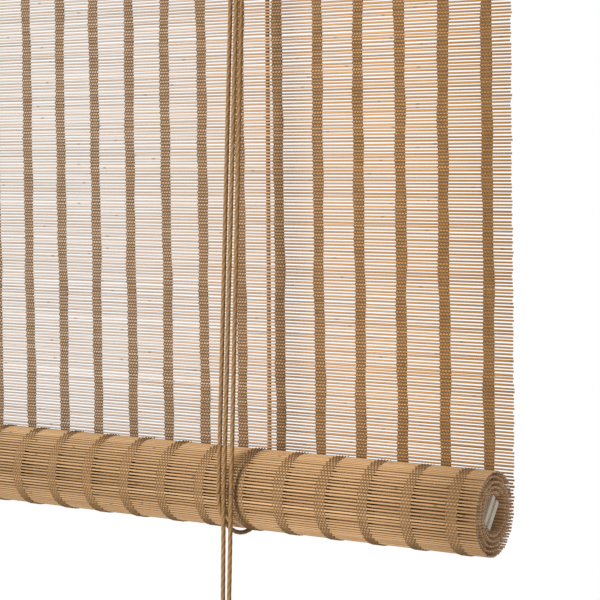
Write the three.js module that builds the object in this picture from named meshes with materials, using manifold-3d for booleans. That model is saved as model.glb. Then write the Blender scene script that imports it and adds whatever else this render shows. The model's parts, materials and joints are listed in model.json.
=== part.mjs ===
// Cord-operated roll-up blind of woven bamboo, partly raised. Millimetres, +Z up.
// X runs along the head rail, +Y points at the wall, and the origin is the middle of the rail's top face.
import * as THREE from 'three';
import { mergeVertices } from 'three/addons/utils/BufferGeometryUtils.js';
import Module from 'manifold-3d';

const wasm = await Module();
wasm.setup();

// Driving dimensions.
const BLIND_WIDTH = 900;
const HANG = 800; // from the rail's top face down to the roll's axis
const MAT_THICKNESS = 1.5;
const LAYER_PITCH = 2.5; // from one layer of the roll to the next
const FULL_TURNS = 4; // whole turns wound before the mat turns in to the batten
const RAIL_DEPTH = 28;
const RAIL_HEIGHT = 22;
const LATH_THICKNESS = 5;
const LATH_HEIGHT = 22;
const CLAMP_TOP = 3; // how far the mat and its lath start below the rail's top face
const SLAT_HEIGHT = 16; // bottom batten, one slat of the pair
const SLAT_THICKNESS = 3;
const SLAT_INSET = 0.5; // the batten stops this far inside the mat's edge
const BATTEN_TILT = THREE.MathUtils.degToRad(40); // from vertical, its top leaning to the wall
const MAT_BEND_RADIUS = 1.6;
const MAT_IN_BATTEN = 0.95; // share of the slats' height that the mat runs in between them
const CORD_DIAMETER = 2.4;
const LIFT_INSET = 146.5; // from each edge of the mat to its lift cord
const BRACKET_INSET = 50;
const BRACKET_WIDTH = 20;
const SHEET_METAL = 2; // brackets
const BRACKET_LEG_REACH = 22; // of the bracket's leg over the rail, from the rail's back
const CHEEK_THICKNESS = 1.5; // pulley and lock housings
const SHEAVE_GROOVE_RADIUS = 4.3;
const SHEAVE_WIDTH = 6;
const SHEAVE_BELOW_RAIL = 14; // from the rail's underside to the sheaves' axis
const SHEAVE_SPACING = 8; // between the lock's two sheaves
const AXLE_RADIUS = 1.5;
const LOCK_BELOW_RAIL = 44; // from the rail's underside to the foot of the lock
const LOCK_REACH = 34; // of the lock's cheeks, past the sheaves' axis
const LOCK_LEAD = 10; // of the lock's cheeks, before the sheaves' axis
const PULLEY_REACH = 9.5; // of the pulley's cheeks, each way from its axis
const PULLEY_FOOT = 5; // of the pulley's cheeks, below its axis
const FLANGE = 10; // of a housing's top plate past its cheeks, for a screw
const CAM_PIN_REACH = 18.7; // from the sheaves' axis to the cam's pin
const CAM_PIN_LEAD = 2; // the pin is this much lower than the sheaves' axis
const LOCK_OFFSET = 5; // of the lock to the right of its lift cord's place on the roll
const PULL_SPACING_A = 3.3; // at the roll, from the right lift cord to the first pull cord
const PULL_SPACING_B = 7.9; // and to the second
const EXIT_SPACING_A = 4; // at the lock's foot, from the sheaves' axis to the first pull cord
const EXIT_SPACING_B = 0.7; // and to the second
const TASSEL_LEAN = 2.5; // of the first pull cord to the left, between the roll and the tassel
const TASSEL_BELOW_ROLL = 140; // from the roll's axis to the top of the tassel
const EYE_BELOW_LATH = 5;
const EYE_SHANK_IN_LATH = 10;
const EYE_RADIUS = 2;
const EYE_WIRE = 0.8;
const KNOT_LOOP_RADIUS = 2.4;
const KNOT_BELOW_EYE = 10; // from the eye's ring to the foot of the knot
const TASSEL_HEIGHT = 42;
const TASSEL_RADIUS = 8.5;
const TASSEL_SEAT = 0.55; // share of the tassel's height down to the seat of its knot
const SCREW_RADIUS = 1.6;
const SCREW_HEAD_RADIUS = 3.2;
const SCREW_HEAD_HEIGHT = 1.6;
const WALL_HOLE_RADIUS = 2.25;
const WALL_HOLE_SHARES = [0.3, 0.78]; // of the way down a bracket's plate
const CLAMP_SCREWS = 5;
const BATTEN_SCREWS = 3;
const BATTEN_SCREW_RADIUS = 1.2;
const BATTEN_HEAD_RADIUS = 2.4;
const BATTEN_SCREW_INSET = 30;
const SCREW_SIDES = 12;

// Clearances.
const GAP = 0.3; // between touching pieces
const RUN = 0.3; // between an axle and what turns on it

// Places that follow from them.
const CORD_RADIUS = CORD_DIAMETER / 2;
const SHEAVE_DROP = RAIL_HEIGHT + SHEAVE_BELOW_RAIL;
const LOCK_DROP = RAIL_HEIGHT + LOCK_BELOW_RAIL;
const CAM_PIN_DROP = SHEAVE_DROP + CAM_PIN_LEAD;
const TASSEL_TOP_DROP = HANG + TASSEL_BELOW_ROLL;
const MAT_FRONT = RAIL_DEPTH / 2 + GAP;
const MAT_Y = MAT_FRONT + MAT_THICKNESS / 2;
const MAT_BACK = MAT_FRONT + MAT_THICKNESS;
const LATH_FRONT = MAT_BACK + GAP;
const LATH_BACK = LATH_FRONT + LATH_THICKNESS;
const PLATE_FRONT = LATH_BACK + GAP;
const WALL_Y = PLATE_FRONT + SHEET_METAL;
const SLAT_OFFSET = MAT_THICKNESS / 2 + GAP; // from the mat's middle to a slat's inner face
const BATTEN_CORNER = Math.hypot(SLAT_HEIGHT / 2, SLAT_OFFSET + SLAT_THICKNESS);
const CORE_RADIUS = BATTEN_CORNER + GAP + MAT_THICKNESS / 2;
const BEND_LEAD = Math.asin(MAT_BEND_RADIUS / (CORE_RADIUS - MAT_BEND_RADIUS));
const SPIRAL_END = (2 * FULL_TURNS + 1.5) * Math.PI + BATTEN_TILT - BEND_LEAD;
const ROLL_RADIUS = CORE_RADIUS + (LAYER_PITCH * SPIRAL_END) / (2 * Math.PI);
const ROLL_Y = MAT_Y - ROLL_RADIUS;
const LOOP_RADIUS = ROLL_RADIUS + MAT_THICKNESS / 2 + GAP + CORD_RADIUS; // clear of the turning roll
const LOOP_BACK = ROLL_Y + LOOP_RADIUS;
const LOOP_FRONT = ROLL_Y - LOOP_RADIUS;
const LIFT_X = BLIND_WIDTH / 2 - LIFT_INSET;
const BRACKET_X = BLIND_WIDTH / 2 - BRACKET_INSET;
const CORD_ON_SHEAVE = SHEAVE_GROOVE_RADIUS + GAP + CORD_RADIUS;
const SHEAVE_RADIUS = CORD_ON_SHEAVE + CORD_RADIUS;
const HOUSING_TOP = RAIL_HEIGHT + GAP;
const LOCK_X = LIFT_X + CORD_ON_SHEAVE + LOCK_OFFSET;
const PULLEY_X = -LIFT_X + CORD_ON_SHEAVE;
const CROSSING_Y = -SHEAVE_SPACING / 2;
const RETURN_Y = SHEAVE_SPACING / 2;
const PULL_A = LIFT_X + PULL_SPACING_A;
const PULL_B = LIFT_X + PULL_SPACING_B;
const EXIT_A_X = LOCK_X + EXIT_SPACING_A;
const EXIT_B_X = LOCK_X + EXIT_SPACING_B;
const EXIT_A_Y = CROSSING_Y - 2;
const EXIT_B_Y = 0;
const EYE_Y = LATH_FRONT + 3.1;
const EYE_DROP = CLAMP_TOP + LATH_HEIGHT + EYE_BELOW_LATH;
const KNOT_DROP = EYE_DROP + EYE_RADIUS + KNOT_BELOW_EYE;
const TASSEL_CORD_A = PULL_A - TASSEL_LEAN;
const TASSEL_CORD_B = TASSEL_CORD_A + CORD_DIAMETER + GAP;
const TASSEL_X = (TASSEL_CORD_A + TASSEL_CORD_B) / 2;

const MATERIALS = {
  bamboo: { color: '#d9b98c', roughness: 0.7, metalness: 0 },
  batten: { color: '#e6dccb', roughness: 0.65, metalness: 0 },
  wood: { color: '#b98a5a', roughness: 0.6, metalness: 0 },
  cord: { color: '#967850', roughness: 0.9, metalness: 0 },
  steel: { color: '#b9bcc0', roughness: 0.35, metalness: 0.9 },
  brass: { color: '#b89a58', roughness: 0.35, metalness: 0.9 },
  plastic: { color: '#e9e4d8', roughness: 0.5, metalness: 0 },
};

const blind = new THREE.Group();

function put(name, geometry, finish, position = [0, 0, 0], parent = blind) {
  const mesh = new THREE.Mesh(geometry, new THREE.MeshStandardMaterial(MATERIALS[finish]));
  mesh.name = name;
  mesh.position.set(...position);
  parent.add(mesh);
  return mesh;
}

function solid(geometry) {
  const bare = geometry.clone();
  bare.deleteAttribute('normal');
  bare.deleteAttribute('uv');
  const merged = mergeVertices(bare, 1e-5);
  const vertProperties = new Float32Array(merged.attributes.position.array);
  const triVerts = new Uint32Array(merged.index.array);
  return new wasm.Manifold(new wasm.Mesh({ numProp: 3, vertProperties, triVerts }));
}

function surface(manifold) {
  const mesh = manifold.getMesh();
  const geometry = new THREE.BufferGeometry();
  geometry.setAttribute('position', new THREE.BufferAttribute(mesh.vertProperties, 3));
  geometry.setIndex(new THREE.BufferAttribute(mesh.triVerts, 1));
  return geometry;
}

function cut(body, ...tools) {
  return surface(tools.reduce((left, tool) => left.subtract(solid(tool)), solid(body)));
}

function join(body, ...more) {
  return surface(more.reduce((whole, piece) => whole.add(solid(piece)), solid(body)));
}

// A box given by its lowest and highest corners.
function block([x0, y0, z0], [x1, y1, z1]) {
  const box = new THREE.BoxGeometry(x1 - x0, y1 - y0, z1 - z0);
  return box.translate((x0 + x1) / 2, (y0 + y1) / 2, (z0 + z1) / 2);
}

// A round bar along an axis, centred on a point.
function rod(axis, radius, length, [x, y, z] = [0, 0, 0], sides = 24) {
  const bar = new THREE.CylinderGeometry(radius, radius, length, sides);
  if (axis === 'z') bar.rotateX(Math.PI / 2);
  return bar.translate(x, y, z);
}

// A turned shape about +Z, from [radius, height] points that run upwards from axis to axis.
function turned(points, sides = 24) {
  const profile = points.map(([radius, height]) => new THREE.Vector2(radius, height));
  return new THREE.LatheGeometry(profile, sides).rotateX(Math.PI / 2);
}

// An outline in Y and Z, drawn out along X and centred.
function drawnAlongX(outline, length) {
  const shape = new THREE.Shape(outline);
  const body = new THREE.ExtrudeGeometry(shape, { depth: length, bevelEnabled: false });
  body.translate(0, 0, -length / 2);
  const [x, y, z] = [new THREE.Vector3(1, 0, 0), new THREE.Vector3(0, 1, 0), new THREE.Vector3(0, 0, 1)];
  return body.applyMatrix4(new THREE.Matrix4().makeBasis(y, z, x));
}

// An outline in X and Z, drawn out along Y and centred.
function drawnAlongY(outline, length) {
  const body = new THREE.ExtrudeGeometry(new THREE.Shape(outline), { depth: length, bevelEnabled: false });
  return body.translate(0, 0, -length / 2).rotateX(Math.PI / 2);
}

// A cord's route, with one step of the tube at each of its points.
class Route extends THREE.Curve {
  constructor(points) {
    super();
    this.points = points.map((point) => new THREE.Vector3(...point));
  }

  index(u) {
    return Math.round(u * (this.points.length - 1));
  }

  getPoint(u) {
    return this.points[this.index(u)].clone();
  }

  getPointAt(u) {
    return this.getPoint(u);
  }

  getTangentAt(u) {
    const i = this.index(u);
    const before = this.points[Math.max(i - 1, 0)];
    const after = this.points[Math.min(i + 1, this.points.length - 1)];
    return after.clone().sub(before).normalize();
  }
}

function cord(points) {
  const section = new THREE.Shape();
  const sides = 8;
  for (let i = 0; i < sides; i += 1) {
    const angle = (2 * Math.PI * i) / sides;
    const corner = [CORD_RADIUS * Math.cos(angle), CORD_RADIUS * Math.sin(angle)];
    if (i === 0) section.moveTo(...corner);
    else section.lineTo(...corner);
  }
  const steps = points.length - 1;
  return new THREE.ExtrudeGeometry(section, { steps, extrudePath: new Route(points), bevelEnabled: false });
}

// Points of an arc in the X-Z plane; angles run from +X towards +Z.
function arcXZ(centreX, y, centreZ, radius, from, to, steps) {
  return Array.from({ length: steps + 1 }, (_, i) => {
    const angle = THREE.MathUtils.degToRad(from + ((to - from) * i) / steps);
    return [centreX + radius * Math.cos(angle), y, centreZ + radius * Math.sin(angle)];
  });
}

// A countersunk screw about +Z with its head's flat face at z = 0 and its point below.
function countersunkScrew(length, radius = SCREW_RADIUS, headRadius = SCREW_HEAD_RADIUS) {
  const tip = 2 * radius;
  return turned(
    [
      [0, -length],
      [radius, tip - length],
      [radius, -SCREW_HEAD_HEIGHT],
      [headRadius, 0],
      [0, 0],
    ],
    SCREW_SIDES,
  );
}

// The hole that such a screw sits in, open at the top.
function countersunkHole(length, radius = SCREW_RADIUS, headRadius = SCREW_HEAD_RADIUS) {
  return turned(
    [
      [0, -length],
      [radius + GAP, -length],
      [radius + GAP, -SCREW_HEAD_HEIGHT],
      [headRadius + GAP, 0],
      [headRadius + GAP, 1],
      [0, 1],
    ],
    SCREW_SIDES,
  );
}

// A round-headed screw about +Z, driven upwards: its head hangs below z = 0.
function panScrew(length) {
  return turned(
    [
      [0, -SCREW_HEAD_HEIGHT],
      [0.7 * SCREW_HEAD_RADIUS, -SCREW_HEAD_HEIGHT],
      [SCREW_HEAD_RADIUS, -0.5 * SCREW_HEAD_HEIGHT],
      [SCREW_HEAD_RADIUS, 0],
      [SCREW_RADIUS, 0],
      [SCREW_RADIUS, length - 2 * SCREW_RADIUS],
      [0, length],
    ],
    SCREW_SIDES,
  );
}

const CLAMP_SCREW_LENGTH = LATH_THICKNESS + MAT_THICKNESS + 10;
const BRACKET_SCREW_LENGTH = RAIL_HEIGHT - 1;
const BATTEN_SCREW_LENGTH = 2 * (SLAT_OFFSET + SLAT_THICKNESS);
const PAN_SCREW_LENGTH = 14;
const CLAMP_SCREW_Z = -CLAMP_TOP - LATH_HEIGHT / 2;
const LEG_TOP = GAP;
const LEG_BOTTOM = LEG_TOP + SHEET_METAL;
const LEG_FRONT = RAIL_DEPTH / 2 - BRACKET_LEG_REACH;

const clampScrewXs = Array.from({ length: CLAMP_SCREWS }, (_, i) => {
  const reach = BRACKET_X - 2 * BRACKET_WIDTH;
  return -reach + (2 * reach * i) / (CLAMP_SCREWS - 1);
});
const battenScrewXs = Array.from({ length: BATTEN_SCREWS }, (_, i) => {
  const reach = BLIND_WIDTH / 2 - BATTEN_SCREW_INSET;
  return -reach + (2 * reach * i) / (BATTEN_SCREWS - 1);
});
const pulleyScrewXs = [-1, 1].map((side) => PULLEY_X + side * (PULLEY_REACH + FLANGE / 2));
const lockScrewXs = [LOCK_X - LOCK_LEAD - FLANGE / 2, LOCK_X + LOCK_REACH + FLANGE / 2];

function along(axisTurn, tool, position) {
  return tool.clone().rotateX(axisTurn).translate(...position);
}

const FROM_BACK = -Math.PI / 2; // a screw about +Z laid so that its head faces the wall
const FROM_BELOW = Math.PI;

function headRail() {
  const half = BLIND_WIDTH / 2;
  const body = block([-half, -RAIL_DEPTH / 2, -RAIL_HEIGHT], [half, RAIL_DEPTH / 2, 0]);
  const holes = clampScrewXs.map((x) =>
    rod('y', SCREW_RADIUS + GAP, 2 * CLAMP_SCREW_LENGTH, [x, LATH_BACK + GAP, CLAMP_SCREW_Z], SCREW_SIDES),
  );
  for (const side of [-1, 1]) {
    const x = side * BRACKET_X;
    const notchHalf = BRACKET_WIDTH / 2 + GAP;
    const back = RAIL_DEPTH / 2 + 1;
    holes.push(block([x - notchHalf, LEG_FRONT - GAP, -LEG_BOTTOM - GAP], [x + notchHalf, back, 1]));
    holes.push(along(FROM_BELOW, countersunkHole(RAIL_HEIGHT), [x, 0, -RAIL_HEIGHT]));
  }
  const pilot = (x, y) =>
    rod('z', SCREW_RADIUS + GAP, 2 * PAN_SCREW_LENGTH, [x, y, -HOUSING_TOP], SCREW_SIDES);
  holes.push(...pulleyScrewXs.map((x) => pilot(x, CROSSING_Y)));
  holes.push(...lockScrewXs.map((x) => pilot(x, 0)));
  return cut(body, ...holes);
}

function clampLath() {
  const half = BLIND_WIDTH / 2;
  const body = block([-half, LATH_FRONT, -CLAMP_TOP - LATH_HEIGHT], [half, LATH_BACK, -CLAMP_TOP]);
  const holes = clampScrewXs.map((x) =>
    along(FROM_BACK, countersunkHole(CLAMP_SCREW_LENGTH), [x, LATH_BACK, CLAMP_SCREW_Z]),
  );
  for (const side of [-1, 1]) {
    const place = [side * LIFT_X, EYE_Y, -CLAMP_TOP - LATH_HEIGHT];
    holes.push(rod('z', EYE_WIRE + GAP, 2 * (EYE_SHANK_IN_LATH + 2), place, SCREW_SIDES));
  }
  return cut(body, ...holes);
}

function hangingMat() {
  const half = BLIND_WIDTH / 2;
  const body = block([-half, MAT_FRONT, -HANG + GAP], [half, MAT_BACK, -CLAMP_TOP]);
  const through = 4 * MAT_THICKNESS;
  const holes = clampScrewXs.map((x) =>
    rod('y', SCREW_RADIUS + GAP, through, [x, MAT_Y, CLAMP_SCREW_Z], SCREW_SIDES),
  );
  return cut(body, ...holes);
}

// The rolled mat's middle line in Y and Z, from the wall side down, under and up the front, and then in
// between the batten's slats.
function rollLine() {
  const line = [];
  const perTurn = 24;
  const steps = Math.round((SPIRAL_END / (2 * Math.PI)) * perTurn);
  for (let i = 0; i <= steps; i += 1) {
    const angle = (SPIRAL_END * i) / steps;
    const radius = ROLL_RADIUS - (LAYER_PITCH * angle) / (2 * Math.PI);
    line.push(new THREE.Vector2(radius * Math.cos(angle), -radius * Math.sin(angle)));
  }
  const bendCentre = CORE_RADIUS - MAT_BEND_RADIUS;
  const centre = new THREE.Vector2(bendCentre * Math.cos(SPIRAL_END), -bendCentre * Math.sin(SPIRAL_END));
  const bendSteps = 6;
  for (let i = 1; i <= bendSteps; i += 1) {
    const angle = SPIRAL_END + ((Math.PI / 2 + BEND_LEAD) * i) / bendSteps;
    const spoke = new THREE.Vector2(Math.cos(angle), -Math.sin(angle)).multiplyScalar(MAT_BEND_RADIUS);
    line.push(centre.clone().add(spoke));
  }
  const inwards = new THREE.Vector2(-Math.sin(BATTEN_TILT), -Math.cos(BATTEN_TILT));
  const tail = line[line.length - 1].clone().addScaledVector(inwards, MAT_IN_BATTEN * SLAT_HEIGHT);
  line.push(tail);
  return line;
}

function rolledMat() {
  const line = rollLine();
  const half = MAT_THICKNESS / 2;
  const left = [];
  const right = [];
  line.forEach((point, i) => {
    const before = line[Math.max(i - 1, 0)];
    const after = line[Math.min(i + 1, line.length - 1)];
    const heading = after.clone().sub(before).normalize();
    const across = new THREE.Vector2(-heading.y, heading.x);
    left.push(point.clone().addScaledVector(across, half));
    right.unshift(point.clone().addScaledVector(across, -half));
  });
  const body = drawnAlongX([...left, ...right], BLIND_WIDTH);
  const holes = battenScrewXs.map((x) => {
    const bore = rod('y', BATTEN_SCREW_RADIUS + GAP, 2 * SLAT_OFFSET, [x, 0, 0], SCREW_SIDES);
    return bore.rotateX(-BATTEN_TILT);
  });
  return cut(body, ...holes);
}

function battenSlat(side) {
  const half = BLIND_WIDTH / 2 - SLAT_INSET;
  const inner = side * SLAT_OFFSET;
  const outer = side * (SLAT_OFFSET + SLAT_THICKNESS);
  const [low, high] = [Math.min(inner, outer), Math.max(inner, outer)];
  const body = block([-half, low, -SLAT_HEIGHT / 2], [half, high, SLAT_HEIGHT / 2]);
  const head = SLAT_OFFSET + SLAT_THICKNESS;
  const length = BATTEN_SCREW_LENGTH + 1;
  const holes = battenScrewXs.map((x) =>
    along(FROM_BACK, countersunkHole(length, BATTEN_SCREW_RADIUS, BATTEN_HEAD_RADIUS), [x, head, 0]),
  );
  return cut(body, ...holes);
}

function bracket() {
  const half = BRACKET_WIDTH / 2;
  const leg = block([-half, LEG_FRONT, -LEG_BOTTOM], [half, WALL_Y, -LEG_TOP]);
  const foot = -CLAMP_TOP - LATH_HEIGHT;
  const plate = block([-half, PLATE_FRONT, foot], [half, WALL_Y, -LEG_TOP]);
  const wallHoles = WALL_HOLE_SHARES.map((share) =>
    rod('y', WALL_HOLE_RADIUS, 3 * SHEET_METAL, [0, WALL_Y, share * foot], 20),
  );
  const screwHole = rod('z', SCREW_RADIUS + GAP, 4 * SHEET_METAL, [0, 0, -LEG_BOTTOM], 16);
  return cut(join(leg, plate), screwHole, ...wallHoles);
}

function sheave() {
  const half = SHEAVE_WIDTH / 2;
  const groove = half - 0.8;
  const bore = AXLE_RADIUS + RUN;
  return turned(
    [
      [bore, -half],
      [SHEAVE_RADIUS, -half],
      [SHEAVE_RADIUS, -groove],
      [SHEAVE_GROOVE_RADIUS, -1],
      [SHEAVE_GROOVE_RADIUS, 1],
      [SHEAVE_RADIUS, groove],
      [SHEAVE_RADIUS, half],
      [bore, half],
      [bore, -half],
    ],
    28,
  ).rotateX(-Math.PI / 2);
}

// A riveted axle along Y that spans two cheeks, whose outer faces are half apart from the middle.
function axle(half) {
  const head = AXLE_RADIUS + 1.2;
  return turned([
    [0, -half - 1.2],
    [head, -half - 1],
    [head, -half - GAP],
    [AXLE_RADIUS, -half - GAP],
    [AXLE_RADIUS, half + GAP],
    [head, half + GAP],
    [head, half + 1],
    [0, half + 1.2],
  ]).rotateX(-Math.PI / 2);
}

// A folded housing under the rail: a top plate and two cheeks, with holes for axles and screws.
function housing(cheekX, cheekHalf, foot, plateX, axles, screwXs) {
  const [x0, x1] = cheekX;
  const outer = cheekHalf + CHEEK_THICKNESS;
  const top = -HOUSING_TOP;
  const plate = block([plateX[0], -outer, top - CHEEK_THICKNESS], [plateX[1], outer, top]);
  const cheeks = [-1, 1].map((side) => {
    const [low, high] = side < 0 ? [-outer, -cheekHalf] : [cheekHalf, outer];
    return block([x0, low, foot], [x1, high, top - CHEEK_THICKNESS / 2]);
  });
  const folded = join(plate, ...cheeks);
  const bores = axles.map(([x, z]) => rod('y', AXLE_RADIUS + GAP, 4 * outer, [x, 0, z]));
  const screwHoles = screwXs.map((x) => rod('z', SCREW_RADIUS + GAP, 10, [x, 0, top], SCREW_SIDES));
  return cut(folded, ...bores, ...screwHoles);
}

const LOCK_CHEEK = SHEAVE_SPACING / 2 + SHEAVE_WIDTH / 2 + 2.5; // inner face, from the middle
const PULLEY_CHEEK = SHEAVE_WIDTH / 2 + 1;
const GUIDE_RADIUS = 1.6;
const GUIDE_DROP = LOCK_DROP - 4;

function lockHousing() {
  const body = housing(
    [-LOCK_LEAD, LOCK_REACH],
    LOCK_CHEEK,
    -LOCK_DROP,
    [-LOCK_LEAD - FLANGE, LOCK_REACH + FLANGE],
    [
      [0, -SHEAVE_DROP],
      [CAM_PIN_REACH, -CAM_PIN_DROP],
    ],
    lockScrewXs.map((x) => x - LOCK_X),
  );
  const besideCord = CORD_RADIUS + GAP + GUIDE_RADIUS;
  const post = (x, y0, y1) =>
    rod('y', GUIDE_RADIUS, y1 - y0, [x - besideCord - LOCK_X, (y0 + y1) / 2, -GUIDE_DROP], 16);
  const wall = LOCK_CHEEK + CHEEK_THICKNESS / 2;
  const reach = CORD_DIAMETER;
  return join(
    body,
    post(EXIT_A_X, -wall, EXIT_A_Y + reach),
    post(EXIT_B_X, EXIT_B_Y - reach, wall),
  );
}

// The cam's outline about its pin: a toothed nose on the left and a heavier tail on the right.
function lockCam() {
  const nose = CAM_PIN_REACH - SHEAVE_RADIUS - GAP;
  const outline = [
    [-nose + 1.5, 2.8],
    [-nose + 0.7, 1.4],
    [-nose + 1.0, 0.8],
    [-nose + 0.2, -0.6],
    [-nose + 0.5, -1.2],
    [-nose, -2.8],
    [-nose + 2.6, -5.2],
    [-3, -5.5],
    [10, -5],
    [13, -2],
    [13, 2],
    [10, 4.5],
    [0, 5.5],
    [-4, 5],
  ].map(([x, z]) => new THREE.Vector2(x, z));
  const width = 2 * LOCK_CHEEK - 2;
  return cut(drawnAlongY(outline, width), rod('y', AXLE_RADIUS + RUN, 2 * width));
}

function anchorEye() {
  const ring = new THREE.TorusGeometry(EYE_RADIUS, EYE_WIRE, 8, 16).rotateY(Math.PI / 2);
  const shankLength = EYE_BELOW_LATH + EYE_SHANK_IN_LATH;
  return join(ring, rod('z', EYE_WIRE, shankLength, [0, 0, EYE_RADIUS + shankLength / 2 - 0.3], 12));
}

// The cord's end tied to the eye: a small loop through it, and the knot under it.
function liftKnot() {
  const loop = new THREE.TorusGeometry(KNOT_LOOP_RADIUS, 1, 8, 14).rotateX(Math.PI / 2);
  loop.translate(0, 0, -EYE_RADIUS - GAP);
  const top = -EYE_RADIUS - GAP - KNOT_LOOP_RADIUS;
  const foot = EYE_DROP - KNOT_DROP;
  const knot = turned(
    [
      [0, foot],
      [1.2, foot],
      [2.1, foot + 1.5],
      [2.1, top - 1.5],
      [1.2, top],
      [0, top],
    ],
    12,
  );
  return join(loop, knot);
}

function tassel() {
  const bore = CORD_DIAMETER + 2 * GAP;
  const cavity = 0.62 * TASSEL_RADIUS;
  const wall = TASSEL_SEAT * TASSEL_HEIGHT;
  return turned(
    [
      [cavity, -TASSEL_HEIGHT],
      [TASSEL_RADIUS, -TASSEL_HEIGHT],
      [TASSEL_RADIUS, 3 - TASSEL_HEIGHT],
      [0.93 * TASSEL_RADIUS, -0.7 * TASSEL_HEIGHT],
      [0.72 * TASSEL_RADIUS, -0.35 * TASSEL_HEIGHT],
      [bore + 2, -0.1 * TASSEL_HEIGHT],
      [bore + 1.2, 0],
      [bore, 0],
      [bore, -wall + 2],
      [cavity, -wall],
      [cavity, -TASSEL_HEIGHT],
    ],
    28,
  );
}

const KNOT_TOP = TASSEL_TOP_DROP + TASSEL_SEAT * TASSEL_HEIGHT + 1.5;

function tasselKnot() {
  return turned(
    [
      [0, -8],
      [2.6, -7],
      [4.2, -4],
      [3.6, -1],
      [2.2, 0],
      [0, 0],
    ],
    16,
  );
}

// Head: rail, clamp lath, brackets and their screws.
put('head_rail', headRail(), 'wood');
put('mat_clamp_lath', clampLath(), 'wood');
clampScrewXs.forEach((x, i) => {
  const screw = countersunkScrew(CLAMP_SCREW_LENGTH).rotateX(FROM_BACK);
  put(`clamp_screw_${i + 1}`, screw, 'steel', [x, LATH_BACK, CLAMP_SCREW_Z]);
});
for (const [side, name] of [
  [-1, 'left'],
  [1, 'right'],
]) {
  put(`bracket_${name}`, bracket(), 'steel', [side * BRACKET_X, 0, 0]);
  const screw = countersunkScrew(BRACKET_SCREW_LENGTH).rotateX(FROM_BELOW);
  put(`bracket_screw_${name}`, screw, 'steel', [side * BRACKET_X, 0, -RAIL_HEIGHT]);
}

// Left pulley.
const pulley = new THREE.Group();
pulley.position.set(PULLEY_X, CROSSING_Y, 0);
blind.add(pulley);
const pulleyHousing = housing(
  [-PULLEY_REACH, PULLEY_REACH],
  PULLEY_CHEEK,
  -SHEAVE_DROP - PULLEY_FOOT,
  [-PULLEY_REACH - FLANGE, PULLEY_REACH + FLANGE],
  [[0, -SHEAVE_DROP]],
  pulleyScrewXs.map((x) => x - PULLEY_X),
);
put('pulley_housing_left', pulleyHousing, 'steel', [0, 0, 0], pulley);
put('pulley_sheave_left', sheave(), 'plastic', [0, 0, -SHEAVE_DROP], pulley);
put('pulley_axle_left', axle(PULLEY_CHEEK + CHEEK_THICKNESS), 'steel', [0, 0, -SHEAVE_DROP], pulley);

// Cord lock on the right.
const lock = new THREE.Group();
lock.position.set(LOCK_X, 0, 0);
blind.add(lock);
put('lock_housing', lockHousing(), 'steel', [0, 0, 0], lock);
put('lock_sheave_front', sheave(), 'plastic', [0, CROSSING_Y, -SHEAVE_DROP], lock);
put('lock_sheave_back', sheave(), 'plastic', [0, RETURN_Y, -SHEAVE_DROP], lock);
put('lock_axle', axle(LOCK_CHEEK + CHEEK_THICKNESS), 'steel', [0, 0, -SHEAVE_DROP], lock);
put('lock_cam', lockCam(), 'brass', [CAM_PIN_REACH, 0, -CAM_PIN_DROP], lock);
put('lock_cam_pin', axle(LOCK_CHEEK + CHEEK_THICKNESS), 'steel', [CAM_PIN_REACH, 0, -CAM_PIN_DROP], lock);

const UNDER_PLATE = -HOUSING_TOP - CHEEK_THICKNESS - GAP;
pulleyScrewXs.forEach((x, i) => {
  put(`pulley_screw_${i + 1}`, panScrew(PAN_SCREW_LENGTH), 'steel', [x, CROSSING_Y, UNDER_PLATE]);
});
lockScrewXs.forEach((x, i) => {
  put(`lock_screw_${i + 1}`, panScrew(PAN_SCREW_LENGTH), 'steel', [x, 0, UNDER_PLATE]);
});

// Mat: the hanging length, the roll, and the batten in the roll's core.
put('mat_hanging', hangingMat(), 'bamboo');
put('mat_roll', rolledMat(), 'bamboo', [0, ROLL_Y, -HANG]);
const core = new THREE.Group();
core.position.set(0, ROLL_Y, -HANG);
core.rotation.x = -BATTEN_TILT;
blind.add(core);
put('batten_front', battenSlat(-1), 'batten', [0, 0, 0], core);
put('batten_back', battenSlat(1), 'batten', [0, 0, 0], core);
battenScrewXs.forEach((x, i) => {
  const screw = countersunkScrew(BATTEN_SCREW_LENGTH - GAP, BATTEN_SCREW_RADIUS, BATTEN_HEAD_RADIUS);
  const seat = SLAT_OFFSET + SLAT_THICKNESS;
  put(`batten_screw_${i + 1}`, screw.rotateX(FROM_BACK), 'steel', [x, seat, 0], core);
});

// Lift cords: each is tied behind the mat, passes under the roll and rises up its front.
for (const [side, name, topY, lean] of [
  [-1, 'left', CROSSING_Y, 0],
  [1, 'right', RETURN_Y, LOCK_OFFSET],
]) {
  const x = side * LIFT_X;
  put(`anchor_eye_${name}`, anchorEye(), 'steel', [x, EYE_Y, -EYE_DROP]);
  put(`lift_knot_${name}`, liftKnot(), 'cord', [x, EYE_Y, -EYE_DROP]);
  const rear = [
    [x, EYE_Y, -KNOT_DROP - GAP],
    [x, (EYE_Y + LOOP_BACK) / 2, -HANG / 2],
    [x, LOOP_BACK, -HANG + GAP],
  ];
  put(`lift_cord_rear_${name}`, cord(rear), 'cord');
  const loopSteps = 16;
  const loop = Array.from({ length: loopSteps + 1 }, (_, i) => {
    const angle = (Math.PI * i) / loopSteps;
    return [x, ROLL_Y + LOOP_RADIUS * Math.cos(angle), -HANG - LOOP_RADIUS * Math.sin(angle)];
  });
  put(`lift_loop_${name}`, cord(loop), 'cord');
  const front = [
    [x, LOOP_FRONT, -HANG + GAP],
    [x + lean / 2, (LOOP_FRONT + topY) / 2, -(HANG + SHEAVE_DROP) / 2],
    [x + lean, topY, -SHEAVE_DROP - GAP],
  ];
  put(`lift_cord_front_${name}`, cord(front), 'cord');
}

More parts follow.
